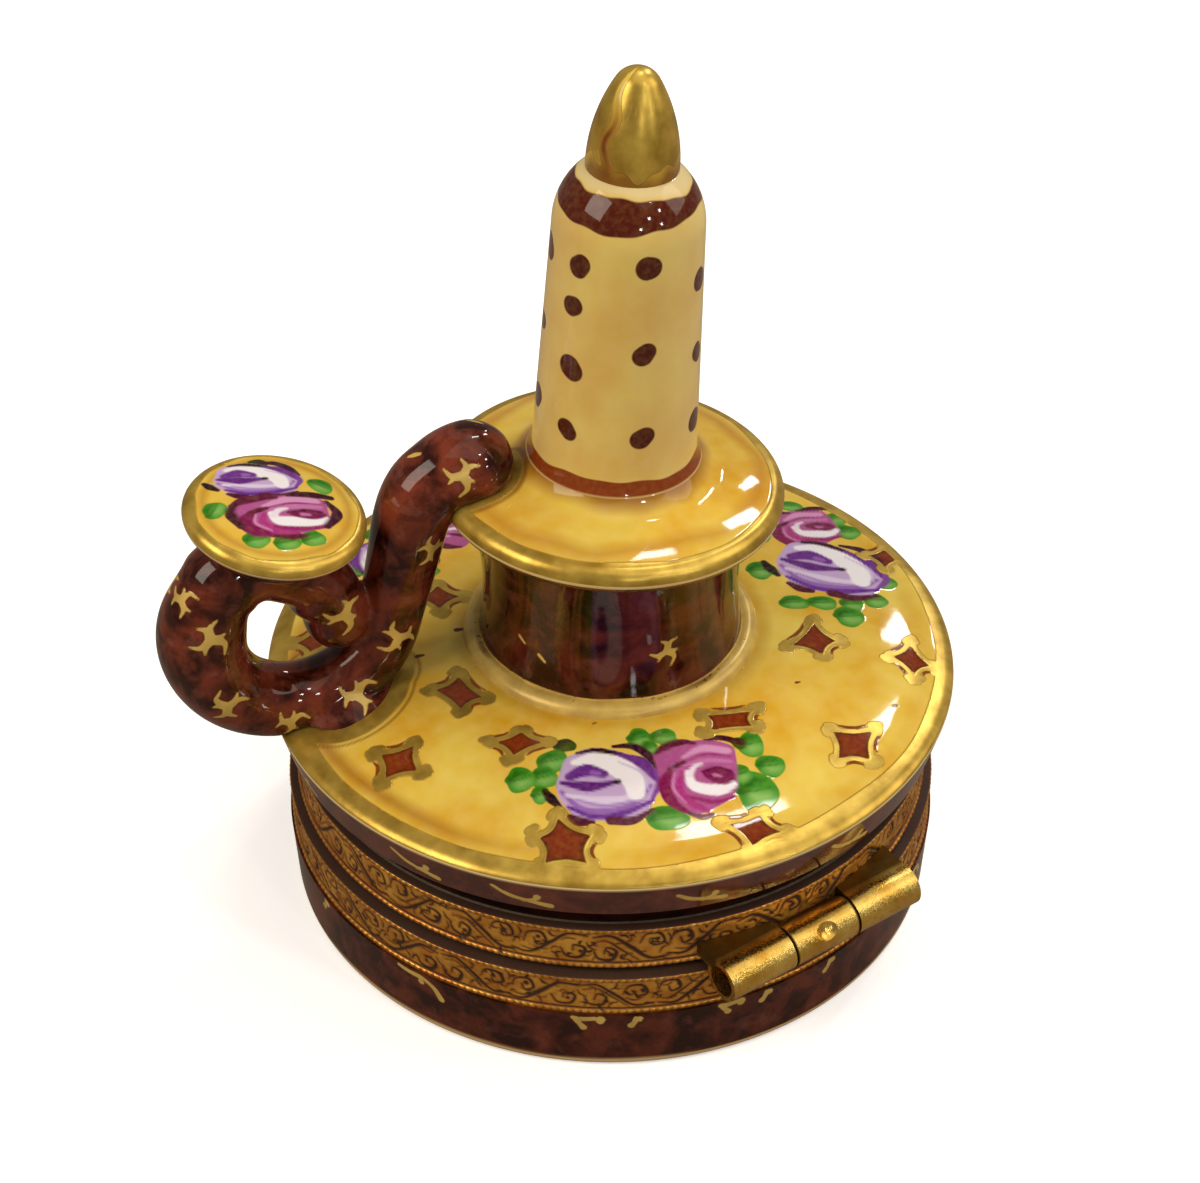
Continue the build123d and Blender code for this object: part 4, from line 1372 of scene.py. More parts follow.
@dataclass
class Neck:
    """The waisted socket under the drip pan."""

    foot_radius: float = 10.25
    base_radius: float = 9.15
    waist_radius: float = 8.8
    top_radius: float = 9.6
    bottom: float = 19.7
    foot_height: float = 0.7
    height: float = 10.6
    spare: float = 0.7
    steps: int = 420
    # Each gold star: degrees round the neck, height, size and turn
    stars: tuple[tuple[float, float, float, float], ...] = (
        (80, 23.8, 1.15, 20), (-40, 25.0, 1.1, 70), (200, 24.2, 1.1, 140), (275, 25.4, 1.0, 10),
    )
    dashes: tuple[Point, ...] = ((11, 23.8), (22, 23.0))

    def build(self, material: bpy.types.Material, stick: StickFrame) -> None:
        """Turn the neck, cut it off square to the leaning stick and glaze it.

        Args:
            material: its glaze.
            stick: the leaning stick.
        """
        foot_top, top = self.bottom + self.foot_height, self.bottom + self.height
        outline = Profile(0, self.bottom, step=5.0).line(self.foot_radius - 1.25, self.bottom)
        outline.every(0.16).line(self.foot_radius, self.bottom)
        roll = (self.foot_radius - 0.25 * self.foot_height, self.bottom + 0.65 * self.foot_height)
        outline.arc_through(roll, (self.base_radius, foot_top))
        outline.arc_through((self.waist_radius, self.bottom + self.height / 2), (self.top_radius, top))
        outline.line(self.top_radius, top + self.spare).every(5.0).line(0, top + self.spare)
        neck = outline.spun("neck_glazed", detail(self.steps))
        matrix = stick.matrix()
        cut = {"plane_co": matrix.translation, "plane_no": matrix.col[2].to_3d()}
        make_active(neck)
        bpy.ops.object.mode_set(mode="EDIT")
        bpy.ops.mesh.select_all(action="SELECT")
        bpy.ops.mesh.bisect(**cut, use_fill=True, clear_outer=True)
        bpy.ops.object.mode_set(mode="OBJECT")
        self.paint(Canvas(neck))
        finish_piece(neck, material, Body.LID, "neck")

    def paint(self, canvas: Canvas) -> None:
        """Paint it brown with a gold foot, gold stars round it and two dashes.

        Args:
            canvas: the neck's canvas.
        """
        _, angle, z = canvas.turned()
        canvas.ground[:] = Ground.BROWN.value
        # The whole neck is darkened as painted shade.
        canvas.stain_and_painted_light("1A0301", np.full(len(z), 0.45))
        canvas.gild_where(self.bottom + self.foot_height + 0.12 + wobble(angle, 0.05) - z)
        brush = Brush.round_wall(canvas, self.waist_radius)
        for degrees, height, size, turn in self.stars:
            gold_star(brush, (math.radians(degrees) * self.waist_radius, height), size, turn)
        for degrees, height in self.dashes:
            start = math.radians(degrees) * self.waist_radius
            brush.gild(brush.stroke([(start, height), (start + 0.5, height - 0.4)], (0.3, 0.2)))
        canvas.write()


@dataclass
class DripPan:
    """The saucer under the candle."""

    seat_radius: float = 9.6
    radius: float = 11.6
    rise: float = 0.5
    rounding: float = 0.95
    shoulder_radius: float = 7.6
    shoulder_height: float = 3.2
    height: float = 4.2
    candle_radius: float = 5.85
    gold_from: float = 10.6
    pooled_at: float = 9.7
    steps: int = 480

    def build(self, material: bpy.types.Material, stick: StickFrame) -> None:
        """Turn the pan about the leaning stick, glaze it and paint it.

        Args:
            material: its glaze.
            stick: the leaning stick.
        """
        inner = self.radius - self.rounding
        outline = Profile(0, 0, step=5.0).line(self.seat_radius - 0.3, 0)
        outline.every(0.16).line(self.seat_radius, 0).line(inner, self.rise)
        outline.arc_through((self.radius, self.rise + self.rounding), (inner, self.rise + 2 * self.rounding))
        outline.facing(-4, 1.4).arc_to(self.shoulder_radius, self.shoulder_height)
        outline.arc_to(self.candle_radius, self.height).line(self.candle_radius - 0.6, self.height)
        outline.every(5.0).line(0, self.height)
        pan = outline.spun("drip_pan_painted", detail(self.steps))
        canvas = Canvas(pan)
        place(pan, stick.matrix())
        self.paint(canvas, Canvas(pan).points)
        finish_piece(pan, material, Body.LID, "drip_pan")

    def paint(self, canvas: Canvas, placed: np.ndarray) -> None:
        """Paint it yellow above, with a gold rim and stains where the glaze pooled, and brown below.

        Args:
            canvas: the pan's canvas, upright.
            placed: its points once it leans.
        """
        radius, angle, z = canvas.turned()
        middle = self.rise + self.rounding
        low = z < middle - 0.3
        canvas.ground[:] = Ground.YELLOW.value
        canvas.ground[low] = Ground.BROWN.value
        inner = self.gold_from + wobble(angle, 0.1, 1)
        canvas.gild_where(np.where(low, -1, np.minimum(radius - inner, (z - middle + 0.02) * 2)))
        canvas.stain_and_painted_light("E0C88E", stripe(z - middle + 0.17, 0.16) * (radius > self.radius - 0.6) * 1.5)
        canvas.stain_and_painted_light("A9620F", stripe(radius - self.pooled_at - wobble(angle, 0.25), 1.0) * 0.5 * ~low)
        root = np.clip(1 - (radius - self.candle_radius - wobble(angle, 0.12, 3)) / 0.9, 0, 1)
        canvas.stain_and_painted_light("7E3208", root * 0.75 * ~low)
        # The handle's crest is outlined in gold where it meets the pan
        gap = distance_to_node(placed, "scroll_handle", 1.6)
        canvas.gild_where(np.where(low, -1, 0.55 - gap))
        canvas.stain_and_painted_light("6A3008", stripe(gap - 0.75, 0.3) * 0.7)
        canvas.write()


@dataclass
class Candle:
    """The dummy candle with its rounded shoulder."""

    bottom: float = 4.2
    foot_radius: float = 5.85
    foot_height: float = 1.4
    base_radius: float = 5.45
    top_radius: float = 4.85
    length: float = 17.0
    shoulder_height: float = 3.9
    shoulder_turn: float = 52.0
    ring_from: float = 23.1
    ring_to: float = 24.45
    dots_radius: float = 5.1
    dot_size: float = 0.75
    steps: int = 300
    # Each dot: degrees round the candle and height up it
    dots: tuple[tuple[float, float], ...] = (
        (29.4, 20.1), (26.1, 17.2), (28.7, 12.8), (29.4, 8.3), (82.2, 20.6), (82.3, 14.6), (84.4, 8.5),
        (135.4, 18.4), (135.9, 13.1), (137.0, 8.0), (189.0, 19.5), (188.0, 14.0), (191.0, 8.8), (243.0, 20.0),
        (241.0, 15.2), (244.0, 9.4), (296.0, 18.7), (297.0, 13.0), (294.0, 8.1), (348.0, 19.8), (346.0, 14.4),
        (349.0, 9.0),
    )

    def build(self, material: bpy.types.Material, stick: StickFrame) -> None:
        """Turn the candle and paint it.

        Args:
            material: its glaze.
            stick: the leaning stick.
        """
        outline = Profile(0, self.bottom, step=5.0).line(self.foot_radius - 0.3, self.bottom)
        outline.every(0.14).line(self.foot_radius, self.bottom)
        outline.facing(-0.6, 1).arc_to(self.base_radius, self.bottom + self.foot_height)
        outline.line(self.top_radius, self.bottom + self.length).facing(0, 1)
        outline.turn(self.shoulder_height / math.sin(math.radians(self.shoulder_turn)), self.shoulder_turn)
        outline.every(1.5).line(0, outline.points[-1][1])
        candle = outline.spun("candle_painted", detail(self.steps))
        self.paint(Canvas(candle))
        place(candle, stick.matrix())
        finish_piece(candle, material, Body.LID, "candle")

    def paint(self, canvas: Canvas) -> None:
        """Paint it yellow with brown dots in columns and brown rings at its shoulder and foot.

        Args:
            canvas: the candle's canvas, upright.
        """
        _, angle, z = canvas.turned()
        canvas.ground[:] = Ground.YELLOW.value
        lower = self.ring_from - 0.45 * np.cos(angle - 0.6) + wobble(angle, 0.1, 2)
        upper = self.ring_to + 0.15 * np.cos(angle) + wobble(angle, 0.07, 4)
        canvas.enamel_where("54180A", np.minimum(z - lower, upper - z))
        foot = np.minimum(z - self.bottom - 0.1, self.bottom + 1.0 + wobble(angle, 0.1, 5) - z)
        canvas.enamel_where("84380F", foot)
        canvas.stain_and_painted_light("DCCB94", np.clip((z - upper - 0.05) / 0.2, 0, 1) * 0.7)
        canvas.stain_and_painted_light("7E3208", np.clip(1 - (z - self.bottom - wobble(angle, 0.1)) / 1.1, 0, 1) * 0.6)
        # The glaze is a paler yellow all round, and paler still on the two flanks seen side-on from the
        # camera, as a painted sheen
        canvas.stain_and_painted_light("EBD6A4", np.full(len(z), 0.22) + 0.2 * np.cos(angle + 0.6) ** 2)
        brush = Brush.round_wall(canvas, self.dots_radius)
        for number, (degrees, height) in enumerate(self.dots):
            centre = math.radians(degrees) * self.dots_radius
            width = self.dot_size * (2 + 0.25 * math.sin(3.7 * number))
            slip = 0.14 * math.cos(5.1 * number)
            dab = [(centre - 0.12, height - slip), (centre + 0.12, height + slip)]
            brush.enamel("4C160C", brush.stroke(dab, (width, width * 0.9)))
        canvas.write()


@dataclass
class Flame:
    """The blunt gilded flame."""

    bottom: float = 25.1
    radius: float = 2.948
    side_radius: float = 11.6
    side_turn: float = 30.0
    streak_at: float = 28.0
    steps: int = 200

    def build(self, material: bpy.types.Material, stick: StickFrame) -> None:
        """Turn the flame and gild it.

        Args:
            material: its gilding.
            stick: the leaning stick.
        """
        outline = Profile(0, self.bottom, step=1.0).line(self.radius, self.bottom)
        outline.every(0.1).facing(0, 1).turn(self.side_radius, self.side_turn)
        tip_radius = outline.points[-1][0] / math.cos(math.radians(self.side_turn))
        outline.turn(tip_radius, 90 - self.side_turn)
        outline.points[-1] = np.array([0.0, outline.points[-1][1]])
        # Its top stays a hair below the CAD one's
        for point in outline.points[2:]:
            point[1] -= 0.004 * (point[1] - self.bottom) / 6.8
        flame = outline.spun("flame_gilded", detail(self.steps))
        self.paint(Canvas(flame))
        place(flame, stick.matrix())
        finish_piece(flame, material, Body.LID, "flame")

    def paint(self, canvas: Canvas) -> None:
        """Brush gold over yellow, thin at the root and along one side.

        Args:
            canvas: the flame's canvas, upright.
        """
        _, angle, z = canvas.turned()
        canvas.ground[:] = Ground.YELLOW.value
        canvas.stain_and_painted_light("6A340A", np.clip(1.2 - (z - self.bottom) / 1.6 + wobble(angle, 0.2), 0, 1) * 0.8)
        streak = stripe(angle - math.radians(self.streak_at) - 0.1 * np.sin(2 * z), 0.35)
        canvas.stain_and_painted_light("6E300A", streak * np.clip(1.2 - np.abs(z - self.bottom - 2.5) / 2.6, 0, 1))
        canvas.gild_where(np.minimum(z - self.bottom - 0.9 - wobble(angle, 0.35, 1), 0.7 - 1.3 * streak))
        brush = Brush(canvas, angle * 2.2, z, z < self.bottom + 5.9)
        brush.enamel("5A2206", brush.stroke([(2.1, 29.2), (2.3, 29.7), (2.25, 30.1)], (0.25, 0.4, 0.15)))
        canvas.write()


@dataclass
class ScrollHandle:
    """The rope of clay bent into a scroll, its joins smoothed by glaze."""

    voxel: float = 0.17
    smooth_passes: int = 8
    # Each star: where it lies, its size and its turn in degrees
    stars: tuple[tuple[tuple[float, float, float], float, float], ...] = (
        ((10.55, -1.54, 35.81), 1.25, 0), ((12.75, -2.24, 30.36), 1.2, 60), ((18.8, -3.62, 26.79), 1.45, 0),
        ((15.25, -2.94, 23.64), 1.35, -60), ((18.5, -3.41, 19.9), 1.35, 130),
        ((27.89, -4.97, 28.05), 1.4, 40), ((27.29, -4.92, 22.13), 1.4, 200),
        ((28.74, -6.93, 30.44), 1.1, 100), ((23.2, -4.3, 19.2), 1.2, 90),
    )
    dashes: tuple[tuple[float, float, float], ...] = ((12.28, -4.68, 36.36), (7.78, -4.29, 37.47))
    plane_offset: float = -1.9
    star_room: float = 2.45

    def build(self, material: bpy.types.Material) -> None:
        """Remesh the CAD handle into one soft skin, glaze it and dab gold stars on both sides.

        Args:
            material: its glaze.
        """
        handle = copy_of_node("scroll_handle", "scroll_handle_glazed")
        voxel = self.voxel * 1.0
        apply_modifier(handle, "REMESH", mode="VOXEL", voxel_size=voxel * MM, adaptivity=0.0)
        apply_modifier(handle, "SMOOTH", factor=0.5, iterations=self.smooth_passes)
        self.paint(Canvas(handle))
        finish_piece(handle, material, Body.LID, "scroll_handle", 60)

    def paint(self, canvas: Canvas) -> None:
        """Paint it brown with gold stars on both faces of the scroll.

        Args:
            canvas: the handle's canvas.
        """
        canvas.ground[:] = Ground.BROWN.value
        _, side = handle_axes()
        for centre, size, turn in self.stars:
            front = np.array(centre)
            back = front - side * 2 * (front @ side - self.plane_offset)
            for number, spot in enumerate((front, back)):
                gold_star(self.decal(canvas, spot), (0.0, 0.0), size, turn + 50 * number)
        for centre in self.dashes:
            brush = self.decal(canvas, np.array(centre))
            brush.gild(brush.stroke([(-0.5, 0.1), (0.5, -0.1)], (0.2, 0.4, 0.2)))
        canvas.write()

    def decal(self, canvas: Canvas, spot: np.ndarray) -> Brush:
        """Lay a small chart on the skin, its "right" along the view's right.

        Args:
            canvas: the handle's canvas.
            spot: a point near the skin, in millimetres.

        Returns:
            A brush for it.
        """
        away = canvas.points - spot
        normal = canvas.normals[int(np.argmin((away**2).sum(axis=1)))]
        turn = math.radians(VIEW_TURN)
        right = np.array([math.cos(turn), math.sin(turn), 0.0])
        right = right - normal * (right @ normal)
        right /= max(float(np.linalg.norm(right)), 1e-6)
        up = np.cross(normal, right)
        mask = ((away**2).sum(axis=1) < self.star_room**2) & (canvas.normals @ normal > 0.2)
        return Brush(canvas, away @ right, away @ up, mask)


@dataclass
class ThumbRest:
    """The crowned button on top of the scroll."""

    radius: float = 5.95
    crown: float = 0.45
    rounding: float = 0.75
    stalk_radius: float = 2.6
    stalk_height: float = 3.0
    centre: tuple[float, float] = (22.64, 34.26)
    side_offset: float = -1.9
    side_tilt: float = 6.5
    inward_tilt: float = 10.0
    gold_from: float = 5.25
    stain_at: float = 4.7
    chart_turn: float = 156.6
    steps: int = 340
    leaves: tuple[LeafMark, ...] = (
        ((-3.8, -1.4), 1.7, 1.5, 60, 0.4), ((-0.9, -3.7), 1.8, 1.4, 10, 0.3),
        ((1.0, -3.5), 1.8, 1.4, 15, 0.5), ((2.6, -2.7), 1.7, 1.4, 25, 0.3),
        ((2.6, 2.7), 1.8, 1.5, -30, 0.4), ((-1.6, 4.2), 1.4, 0.9, 10, 0.9),
    )
    # The dark strokes in the folds of the roses
    shadows: Strokes = (((-2.6, -0.6), (-2.8, -1.6), (-2.0, -2.7)), ((3.1, 1.1), (3.9, 0.1), (3.4, -1.3)))

    def matrix(self) -> Matrix:
        """Work out the button's place.

        Returns:
            Its matrix: the origin in the middle of its rim, local Z along its tilted axis.
        """
        out, side = (Vector(axis) for axis in handle_axes())
        up = Vector((0, 0, 1)) + side * math.tan(math.radians(self.side_tilt))
        up = (up - out * math.tan(math.radians(self.inward_tilt))).normalized()
        across = (out - up * out.dot(up)).normalized()
        origin = out * self.centre[0] + side * self.side_offset + Vector((0, 0, self.centre[1]))
        rotation = Matrix((across, up.cross(across), up)).transposed()
        return Matrix.Translation(origin * MM) @ rotation.to_4x4()

    def build(self, material: bpy.types.Material) -> None:
        """Turn the button about its tilted axis and paint it.

        Args:
            material: its glaze.
        """
        inner, top = self.radius - self.rounding, self.rounding + self.crown
        crown_radius = (inner**2 + self.crown**2) / (2 * self.crown)
        outline = Profile(0, -self.stalk_height, step=1.5).line(self.stalk_radius, -self.stalk_height)
        outline.every(0.14).facing(1, 0.3).arc_to(inner, -self.rounding)
        outline.arc_through((self.radius, 0), (inner, self.rounding))
        outline.every(0.12).sweep(np.array([0.0, top - crown_radius]), math.asin(inner / crown_radius))
        outline.points[-1] = np.array([0.0, top])
        rest = outline.spun("thumb_rest_painted", detail(self.steps))
        self.paint(Canvas(rest))
        place(rest, self.matrix())
        finish_piece(rest, material, Body.LID, "thumb_rest")

    def paint(self, canvas: Canvas) -> None:
        """Paint it yellow with two roses in a gold rim, and brown below.

        Args:
            canvas: the button's canvas, upright.
        """
        radius, angle, z = canvas.turned()
        low = z < -0.1
        canvas.ground[:] = Ground.YELLOW.value
        canvas.ground[low] = Ground.BROWN.value
        rim = np.minimum(radius - self.gold_from - wobble(angle, 0.08), (z + 0.05) * 2)
        canvas.gild_where(np.where(low, -1, rim))
        canvas.stain_and_painted_light("E0C88E", stripe(z + 0.12, 0.15) * (radius > self.radius - 0.95) * 1.4)
        canvas.stain_and_painted_light("9A5C12", stripe(radius - self.stain_at, 0.5) * 0.5 * ~low)
        u, v = turned_chart(canvas.points, self.chart_turn)
        brush = Brush(canvas, u, v, z > 0.2)
        for mark in self.leaves:
            leaf(brush, *mark)
        rose(brush, VIOLET_ROSE, (-1.7, 2.1), (2.9, 1.9), 12.0)
        rose(brush, MAGENTA_ROSE, (0.4, -1.2), (3.2, 2.0), 16.0)
        for points in self.shadows:
            brush.enamel("3C0A26", brush.stroke(list(points), (0.35, 0.8, 0.5)), soft=0.3)
        canvas.write()


# ---- Brass pieces ----

# One repeat of the engraved scroll, in millimetres along the band and halves of its height up it:
# width and points
SCROLL_REPEAT: tuple[tuple[float, tuple[Point, ...]], ...] = (
    (0.2, ((0, -0.75), (1.2, -0.85), (2.5, 0), (3.7, 0.85), (5, 0.75))),
    (0.1, ((0.3, -0.4), (1.2, -0.5), (2.2, 0.15), (3.3, 0.95))),
    (0.17, ((0.4, 0.1), (0.7, 0.75), (1.6, 0.85), (1.9, 0.2), (1.3, -0.05), (1.1, 0.4))),
    (0.17, ((3.0, -0.2), (3.4, -0.8), (4.3, -0.8), (4.6, -0.15), (3.9, 0.05), (3.8, -0.35))),
    (0.12, ((2.1, 0.95), (2.3, 0.6), (2.7, 0.5))),
    (0.12, ((2.6, -0.95), (2.5, -0.6), (2.2, -0.45))),
    (0.1, ((4.7, 0.4), (4.9, 0.05), (5.3, -0.1))),
    (0.1, ((0.1, 0.95), (0.3, 0.6), (0.2, 0.3))),
    (0.22, ((1.45, 0.45), (1.55, 0.5))),
    (0.22, ((4.1, -0.45), (4.2, -0.42))),
    (0.09, ((2.9, 0.3), (3.3, 0.5), (3.8, 0.45))),
    (0.09, ((1.2, -0.2), (1.7, -0.35), (2.1, -0.3))),
    (0.12, ((4.9, 0.98), (4.5, 0.85), (4.2, 0.95))),
)


@dataclass
class Bezel:
    """A brass band round the porcelain, engraved with leaf scrolls between two beads."""

    name: str
    node: str
    body: Body
    radius: float
    bottom: float
    height: float
    start: Point
    inside: tuple[Point, ...]
    hinge_seat: float
    seed: int
    bead: float = 0.2
    depth: float = 0.09
    unevenness: float = 0.025
    repeat: float = 5.0
    loose_cuts: int = 11
    notch: float = 0.5
    # How far in from the face the painted shade on the band's top and bottom reaches
    painted_shade_reach: float = 1.6
    steps: int = 1440

    def build(self, material: bpy.types.Material) -> None:
        """Spin the band, engrave it and file its back hollow for the hinge.

        Args:
            material: its metal.
        """
        outline = Profile(*self.start, step=4.0).line(self.radius, self.bottom)
        outline.every(0.09).facing(1, 0).turn(self.bead, 180)
        outline.line(self.radius, self.bottom + self.height - 2 * self.bead)
        outline.facing(1, 0).turn(self.bead, 180).every(4.0)
        for radius, height in self.inside:
            outline.line(radius, height)
        band = outline.spun(self.name, detail(self.steps))
        self.engrave(Canvas(band))
        self.file_hinge_seat(band)
        finish_piece(band, material, self.body, self.node, 50)

    def engrave(self, canvas: Canvas) -> None:
        """Cut the scrolls, the border lines and the bead's notches into the face.

        Args:
            canvas: the band's canvas.
        """
        radius, angle, z = canvas.turned()
        along = angle * self.radius
        face = radius > self.radius - 0.02
        middle, half = self.bottom + self.height / 2, self.height / 2 - 2 * self.bead - 0.12
        self.cut_scrolls(Brush.round_wall(canvas, self.radius, face), middle, half)
        line = stripe(np.abs(z - middle) - half - 0.1, 0.09) * face
        beads = (np.abs(z - middle) > self.height / 2 - 2 * self.bead) & (radius > self.radius + 0.02)
        notches = np.clip(0.5 + 0.9 * np.cos(math.tau * along / self.notch), 0, 1) * beads
        canvas.cut = np.maximum.reduce([canvas.cut, line, notches * 0.45, beads * 0.14])
        # The cuts sink into the face, which is a little uneven from the hammer
        hammered = np.array([noise.noise(Vector((a * 1.3, h * 1.6, self.seed))) for a, h in zip(along, z)])
        sink = self.depth * canvas.cut + self.unevenness * (hammered + 0.6) * face
        inwards = canvas.points * (-1, -1, 0) / radius[:, None]
        mesh = canvas.obj.data
        mesh.vertices.foreach_set("co", ((canvas.points + inwards * sink[:, None]) * MM).ravel())
        mesh.update()
        # The joint between the two bands and the ledge under the dish are darkened fully as painted shade
        shaded_joint_faces = (np.abs(z - middle) > self.height / 2 - 0.02) & (radius > self.radius - self.painted_shade_reach)
        canvas.cut = np.maximum(canvas.cut, shaded_joint_faces * 1.0)
        attribute = mesh.attributes.new("cut", "FLOAT", "POINT")
        attribute.data.foreach_set("value", canvas.cut.astype(np.float32))

    def cut_scrolls(self, brush: Brush, middle: float, half: float) -> None:
        """Cut the repeating leaf scrolls, and the graver's loose cuts between them.

        Args:
            brush: the brush, on the band's unrolled face.
            middle: the height of the engraving's middle.
            half: half of its height.
        """
        generator = random.Random(self.seed)
        length = math.tau * self.radius
        count = round(length / self.repeat)
        stretch = length / count / self.repeat
        for number in range(count):
            flip = 1 if number % 2 else -1
            for width, points in SCROLL_REPEAT:
                aside, above = generator.uniform(-0.25, 0.25), generator.uniform(-0.12, 0.12)
                laid = [
                    (number * length / count + (px + aside) * stretch, middle + (py * flip + above) * half)
                    for px, py in points
                ]
                widths = (width * 0.6, width * generator.uniform(1.2, 1.8), width * 0.7)
                brush.engrave(brush.stroke(laid, widths), soft=0.2)
            for _ in range(self.loose_cuts):
                place_along = (number + generator.random()) * length / count
                start = np.array([place_along, middle + generator.uniform(-0.9, 0.9) * half])
                turn = generator.uniform(-0.6, 0.6) + math.pi / 5 * flip
                run = np.array([math.cos(turn), math.sin(turn)]) * generator.uniform(0.25, 0.75)
                bend = np.array([-run[1], run[0]]) * generator.uniform(-0.4, 0.4)
                width = generator.uniform(0.07, 0.15)
                chain = [start, start + run * 0.5 + bend, start + run]
                brush.engrave(brush.stroke(chain, (width, width * 1.4, width * 0.5)), soft=0.14)

    def file_hinge_seat(self, band: bpy.types.Object) -> None:
        """Take out the room of the hinge barrel.

        Args:
            band: the band.
        """
        cutter = Profile(0, -HINGE_REACH, step=4.0)
        cutter.line(HINGE_RELIEF, -HINGE_REACH).line(HINGE_RELIEF, -KNUCKLE_HALF)
        cutter.line(self.hinge_seat, -KNUCKLE_HALF).line(self.hinge_seat, KNUCKLE_HALF)
        cutter.line(HINGE_RELIEF, KNUCKLE_HALF).line(HINGE_RELIEF, HINGE_REACH).line(0, HINGE_REACH)
        tool = cutter.spun("seat_cutter", 64)
        spot = Matrix.Translation((0, HINGE_Y * MM, HINGE_Z * MM))
        place(tool, spot @ Matrix.Rotation(math.radians(90), 4, "Y"))
        apply_modifier(band, "BOOLEAN", operation="DIFFERENCE", object=tool, solver="MANIFOLD")
        bpy.data.objects.remove(tool, do_unlink=True)


# ---- Camera, light and floor ----


@dataclass(frozen=True)
class Lamp:
    """One soft lamp.

    It lies along a direction from the object, at a distance in metres, with its size in metres, its
    power in watts and its twist about its own aim in degrees.
    """

    name: str
    direction: tuple[float, float, float]
    distance: float
    size: Point
    power: float
    colour: str = "FFFFFF"
    twist: float = 0.0
    aim_height: float = 0.03

    def hang(self) -> None:
        """Hang the lamp, facing the object."""
        data = bpy.data.lights.new(self.name, "AREA")
        data.shape = "RECTANGLE"
        data.size, data.size_y = self.size
        data.energy = self.power
        data.color = linear(self.colour)[:3]
        lamp = bpy.data.objects.new(self.name, data)
        bpy.context.scene.collection.objects.link(lamp)
        aim = Vector(self.direction).normalized()
        twist = Matrix.Rotation(math.radians(self.twist), 4, "Z")
        spot = aim * self.distance + Vector((0, 0, self.aim_height))
        facing = aim.to_track_quat("Z", "Y").to_matrix().to_4x4()
        lamp.matrix_world = Matrix.Translation(spot) @ facing @ twist


def seen_only(tree: bpy.types.NodeTree, seen: Socket, otherwise: Socket) -> Socket:
    """Show one shader to the camera and the other to every other ray."""
    path = add_node(tree, "ShaderNodeLightPath").outputs["Is Camera Ray"]
    return add_node(tree, "ShaderNodeMixShader", {0: path, 1: otherwise, 2: seen}).outputs[0]


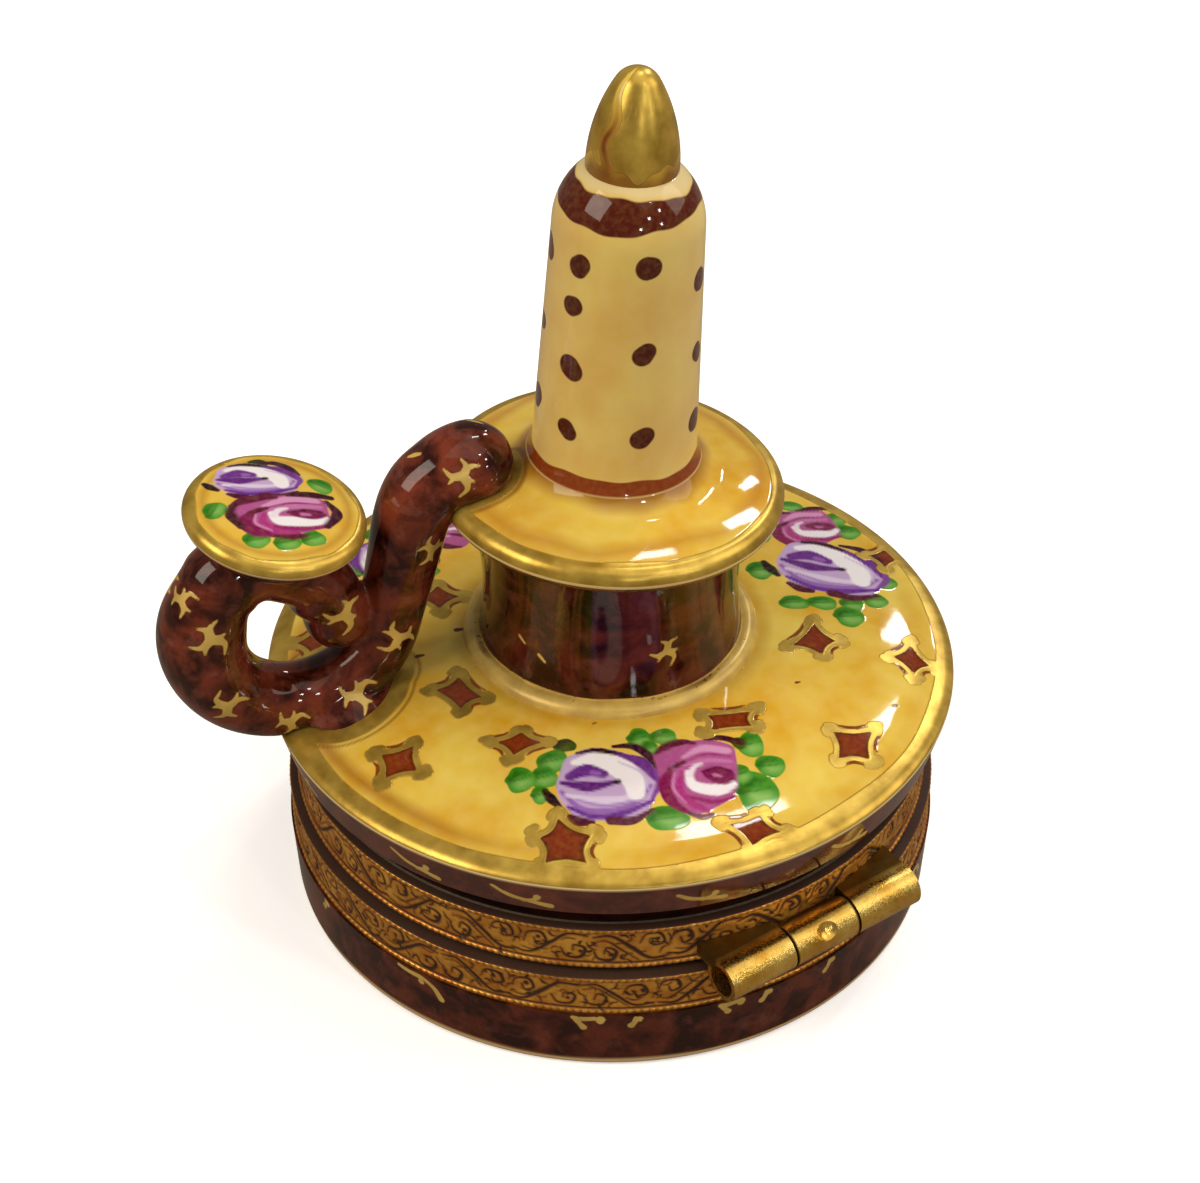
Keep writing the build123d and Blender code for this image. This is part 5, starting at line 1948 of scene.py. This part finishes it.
@dataclass(frozen=True)
class Studio:
    """A pale table top under soft light, seen from above the hinge side.

    The camera's places are in millimetres and its picture's in pixels.
    """

    azimuth: float = 145.0
    elevation: float = 38.0
    roll: float = -0.2
    distance: float = 182.9
    focal_px: float = 2600.0
    width_px: float = 1200.0
    shift: Point = (0.73, -4.15)
    target_height: float = 17.3
    sensor: float = 36.0
    clips: Point = (0.01, 10.0)
    room: str = "D9D4CC"
    room_strength: float = 0.3
    paper: str = "F4F2EF"
    paper_glow: float = 0.42
    paper_to_object: str = "8E857A"
    paper_size: float = 3.0
    paper_drop: float = 0.02
    lamps: tuple[Lamp, ...] = (
        Lamp("window_pane_left", (-0.78, -0.414, 0.47), 0.8, (0.03, 0.09), 0.28),
        Lamp("window_pane_middle", (-0.73, -0.25, 0.635), 0.8, (0.05, 0.15), 0.75),
        Lamp("window_pane_right", (-0.381, -0.186, 0.906), 0.8, (0.04, 0.16), 0.6, twist=-36),
        Lamp("ceiling", (-0.15, 0.25, 0.95), 1.1, (1.1, 1.1), 3.4, "FFF6E8"),
        Lamp("bright_wall", (-0.75, 0.45, 0.5), 0.9, (0.5, 0.5), 2.0, "FFF4E6"),
        Lamp("left_wall", (0.78, -0.12, 0.62), 0.9, (0.5, 0.5), 4.6, "FFF4E6"),
        Lamp("spot_a", (0.015, 0.865, 0.50), 0.9, (0.05, 0.05), 0.42),
        Lamp("spot_b", (-0.31, 0.77, 0.555), 0.9, (0.05, 0.05), 0.42),
        Lamp("spot_c", (-0.27, 0.92, 0.29), 0.9, (0.05, 0.05), 0.42),
        Lamp("spot_d", (0.28, 0.91, 0.305), 0.9, (0.05, 0.05), 0.42),
        Lamp("spot_e", (-0.17, 0.62, 0.77), 0.9, (0.05, 0.05), 0.42),
    )

    def camera(self) -> None:
        """Place the camera."""
        elevation, roll = math.radians(self.elevation), math.radians(self.roll)
        back = Vector((0, -math.cos(elevation), math.sin(elevation)))
        right, up = Vector((1, 0, 0)), Vector((0, math.sin(elevation), math.cos(elevation)))
        turned_right = right * math.cos(roll) + up * math.sin(roll)
        turned_up = up * math.cos(roll) - right * math.sin(roll)
        spot = Vector((0, 0, self.target_height)) + back * self.distance
        spot -= turned_right * self.shift[0] + turned_up * self.shift[1]
        rotation = Matrix((turned_right, turned_up, back)).transposed().to_4x4()
        around = Matrix.Rotation(math.radians(self.azimuth), 4, "Z")
        data = bpy.data.cameras.new("camera")
        data.sensor_width = self.sensor
        data.lens = self.focal_px / self.width_px * self.sensor
        data.clip_start, data.clip_end = self.clips
        camera = bpy.data.objects.new("camera", data)
        bpy.context.scene.collection.objects.link(camera)
        camera.matrix_world = around @ Matrix.Translation(spot * MM) @ rotation
        bpy.context.scene.camera = camera

    def lights(self) -> None:
        """Hang the lamps and set the room's own light."""
        for lamp in self.lamps:
            lamp.hang()
        world = bpy.data.worlds.new("room")
        world.use_nodes = True
        tree = world.node_tree
        tree.nodes.clear()
        room = {"Color": linear(self.room), "Strength": self.room_strength}
        room = add_node(tree, "ShaderNodeBackground", room).outputs[0]
        white = {"Color": linear("FFFFFF"), "Strength": 1.0}
        white = add_node(tree, "ShaderNodeBackground", white).outputs[0]
        add_node(tree, "ShaderNodeOutputWorld", {"Surface": seen_only(tree, white, room)})
        bpy.context.scene.world = world

    def floor(self) -> None:
        """Lay the table top: white paper to the camera, and a duller one to the object above it."""
        deselect_all()
        bpy.ops.mesh.primitive_plane_add(size=self.paper_size, location=(0, 0, -self.paper_drop * MM))
        floor = bpy.context.object
        floor.name = "table_top"
        tree, material = new_material("white_paper")
        paper = add_node(tree, "ShaderNodeBsdfDiffuse", {"Color": linear(self.paper)}).outputs[0]
        glow = {"Color": linear("FFFFFF"), "Strength": self.paper_glow}
        glow = add_node(tree, "ShaderNodeEmission", glow).outputs[0]
        lit = add_node(tree, "ShaderNodeAddShader", {0: paper, 1: glow}).outputs[0]
        dull = add_node(tree, "ShaderNodeBsdfDiffuse", {"Color": linear(self.paper_to_object)}).outputs[0]
        add_node(tree, "ShaderNodeOutputMaterial", {"Surface": seen_only(tree, lit, dull)})
        floor.data.materials.append(material)


def main() -> None:
    """Build the studio and every piece in order."""
    logging.basicConfig(level=logging.INFO, format="%(asctime)s %(name)s %(message)s")
    bpy.context.scene.view_settings.view_transform = "Standard"
    studio = Studio()
    studio.camera()
    studio.lights()
    studio.floor()

    stick = StickFrame()
    yellow = PaintedPorcelain("yellow_glazed_porcelain").build()
    brown = PaintedPorcelain("brown_glazed_porcelain").build()
    gold = PaintedPorcelain("gilded_porcelain", gold_metal=0.65).build()
    deep = {"bright": "F0B44C", "worn": "C4802C", "grime": 0.4, "roughness": 0.32}
    engraved = GiltBrass("engraved_gilt_brass", **deep, carved=True).build()
    brass = GiltBrass("polished_gilt_brass", hinge=True).build()
    # The pin is coloured dark brown as painted shade inside the barrel's ends.
    shaded_pin_brass = GiltBrass("drawn_brass_in_painted_shade", bright="5E4018", worn="2E1A08", roughness=0.35).build()
    shaded_cement = Plaster("mounting_cement_in_painted_shade").build()

    BaseBowl().build(brown)
    LidDish().build(yellow)
    Neck().build(brown, stick)
    DripPan().build(yellow, stick)
    Candle().build(yellow, stick)
    Flame().build(gold, stick)
    ScrollHandle().build(brown)
    ThumbRest().build(yellow)
    Bezel(
        "base_bezel_engraved", "base_bezel", Body.BASE,
        radius=23.0, bottom=5.1, height=3.3, start=(22.5, 5.1), hinge_seat=1.45, seed=7,
        inside=((19.85, 8.4), (19.85, 9.6), (19.4, 9.6), (19.4, 7.9), (22.5, 7.9)),
    ).build(engraved)
    Bezel(
        "lid_bezel_engraved", "lid_bezel", Body.LID,
        radius=22.4, bottom=8.8, height=3.5, start=(20.2, 8.8), hinge_seat=HINGE_RELIEF, seed=11,
        inside=((21.9, 12.3), (21.9, 9.3), (20.2, 9.3)),
    ).build(engraved)
    for name, material in (
        ("catch_bar", brass),
        ("clasp", brass),
        ("hinge_knuckle_base", brass),
        ("hinge_knuckle_left", brass),
        ("hinge_knuckle_right", brass),
        ("hinge_pin", shaded_pin_brass),
        ("base_cement", shaded_cement),
        ("lid_cement", shaded_cement),
    ):
        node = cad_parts[name]
        node.data.materials.clear()
        node.data.materials.append(material)
        LOG.info("%s: dressed in %s", name, material.name)


if __name__ == "__main__":
    main()
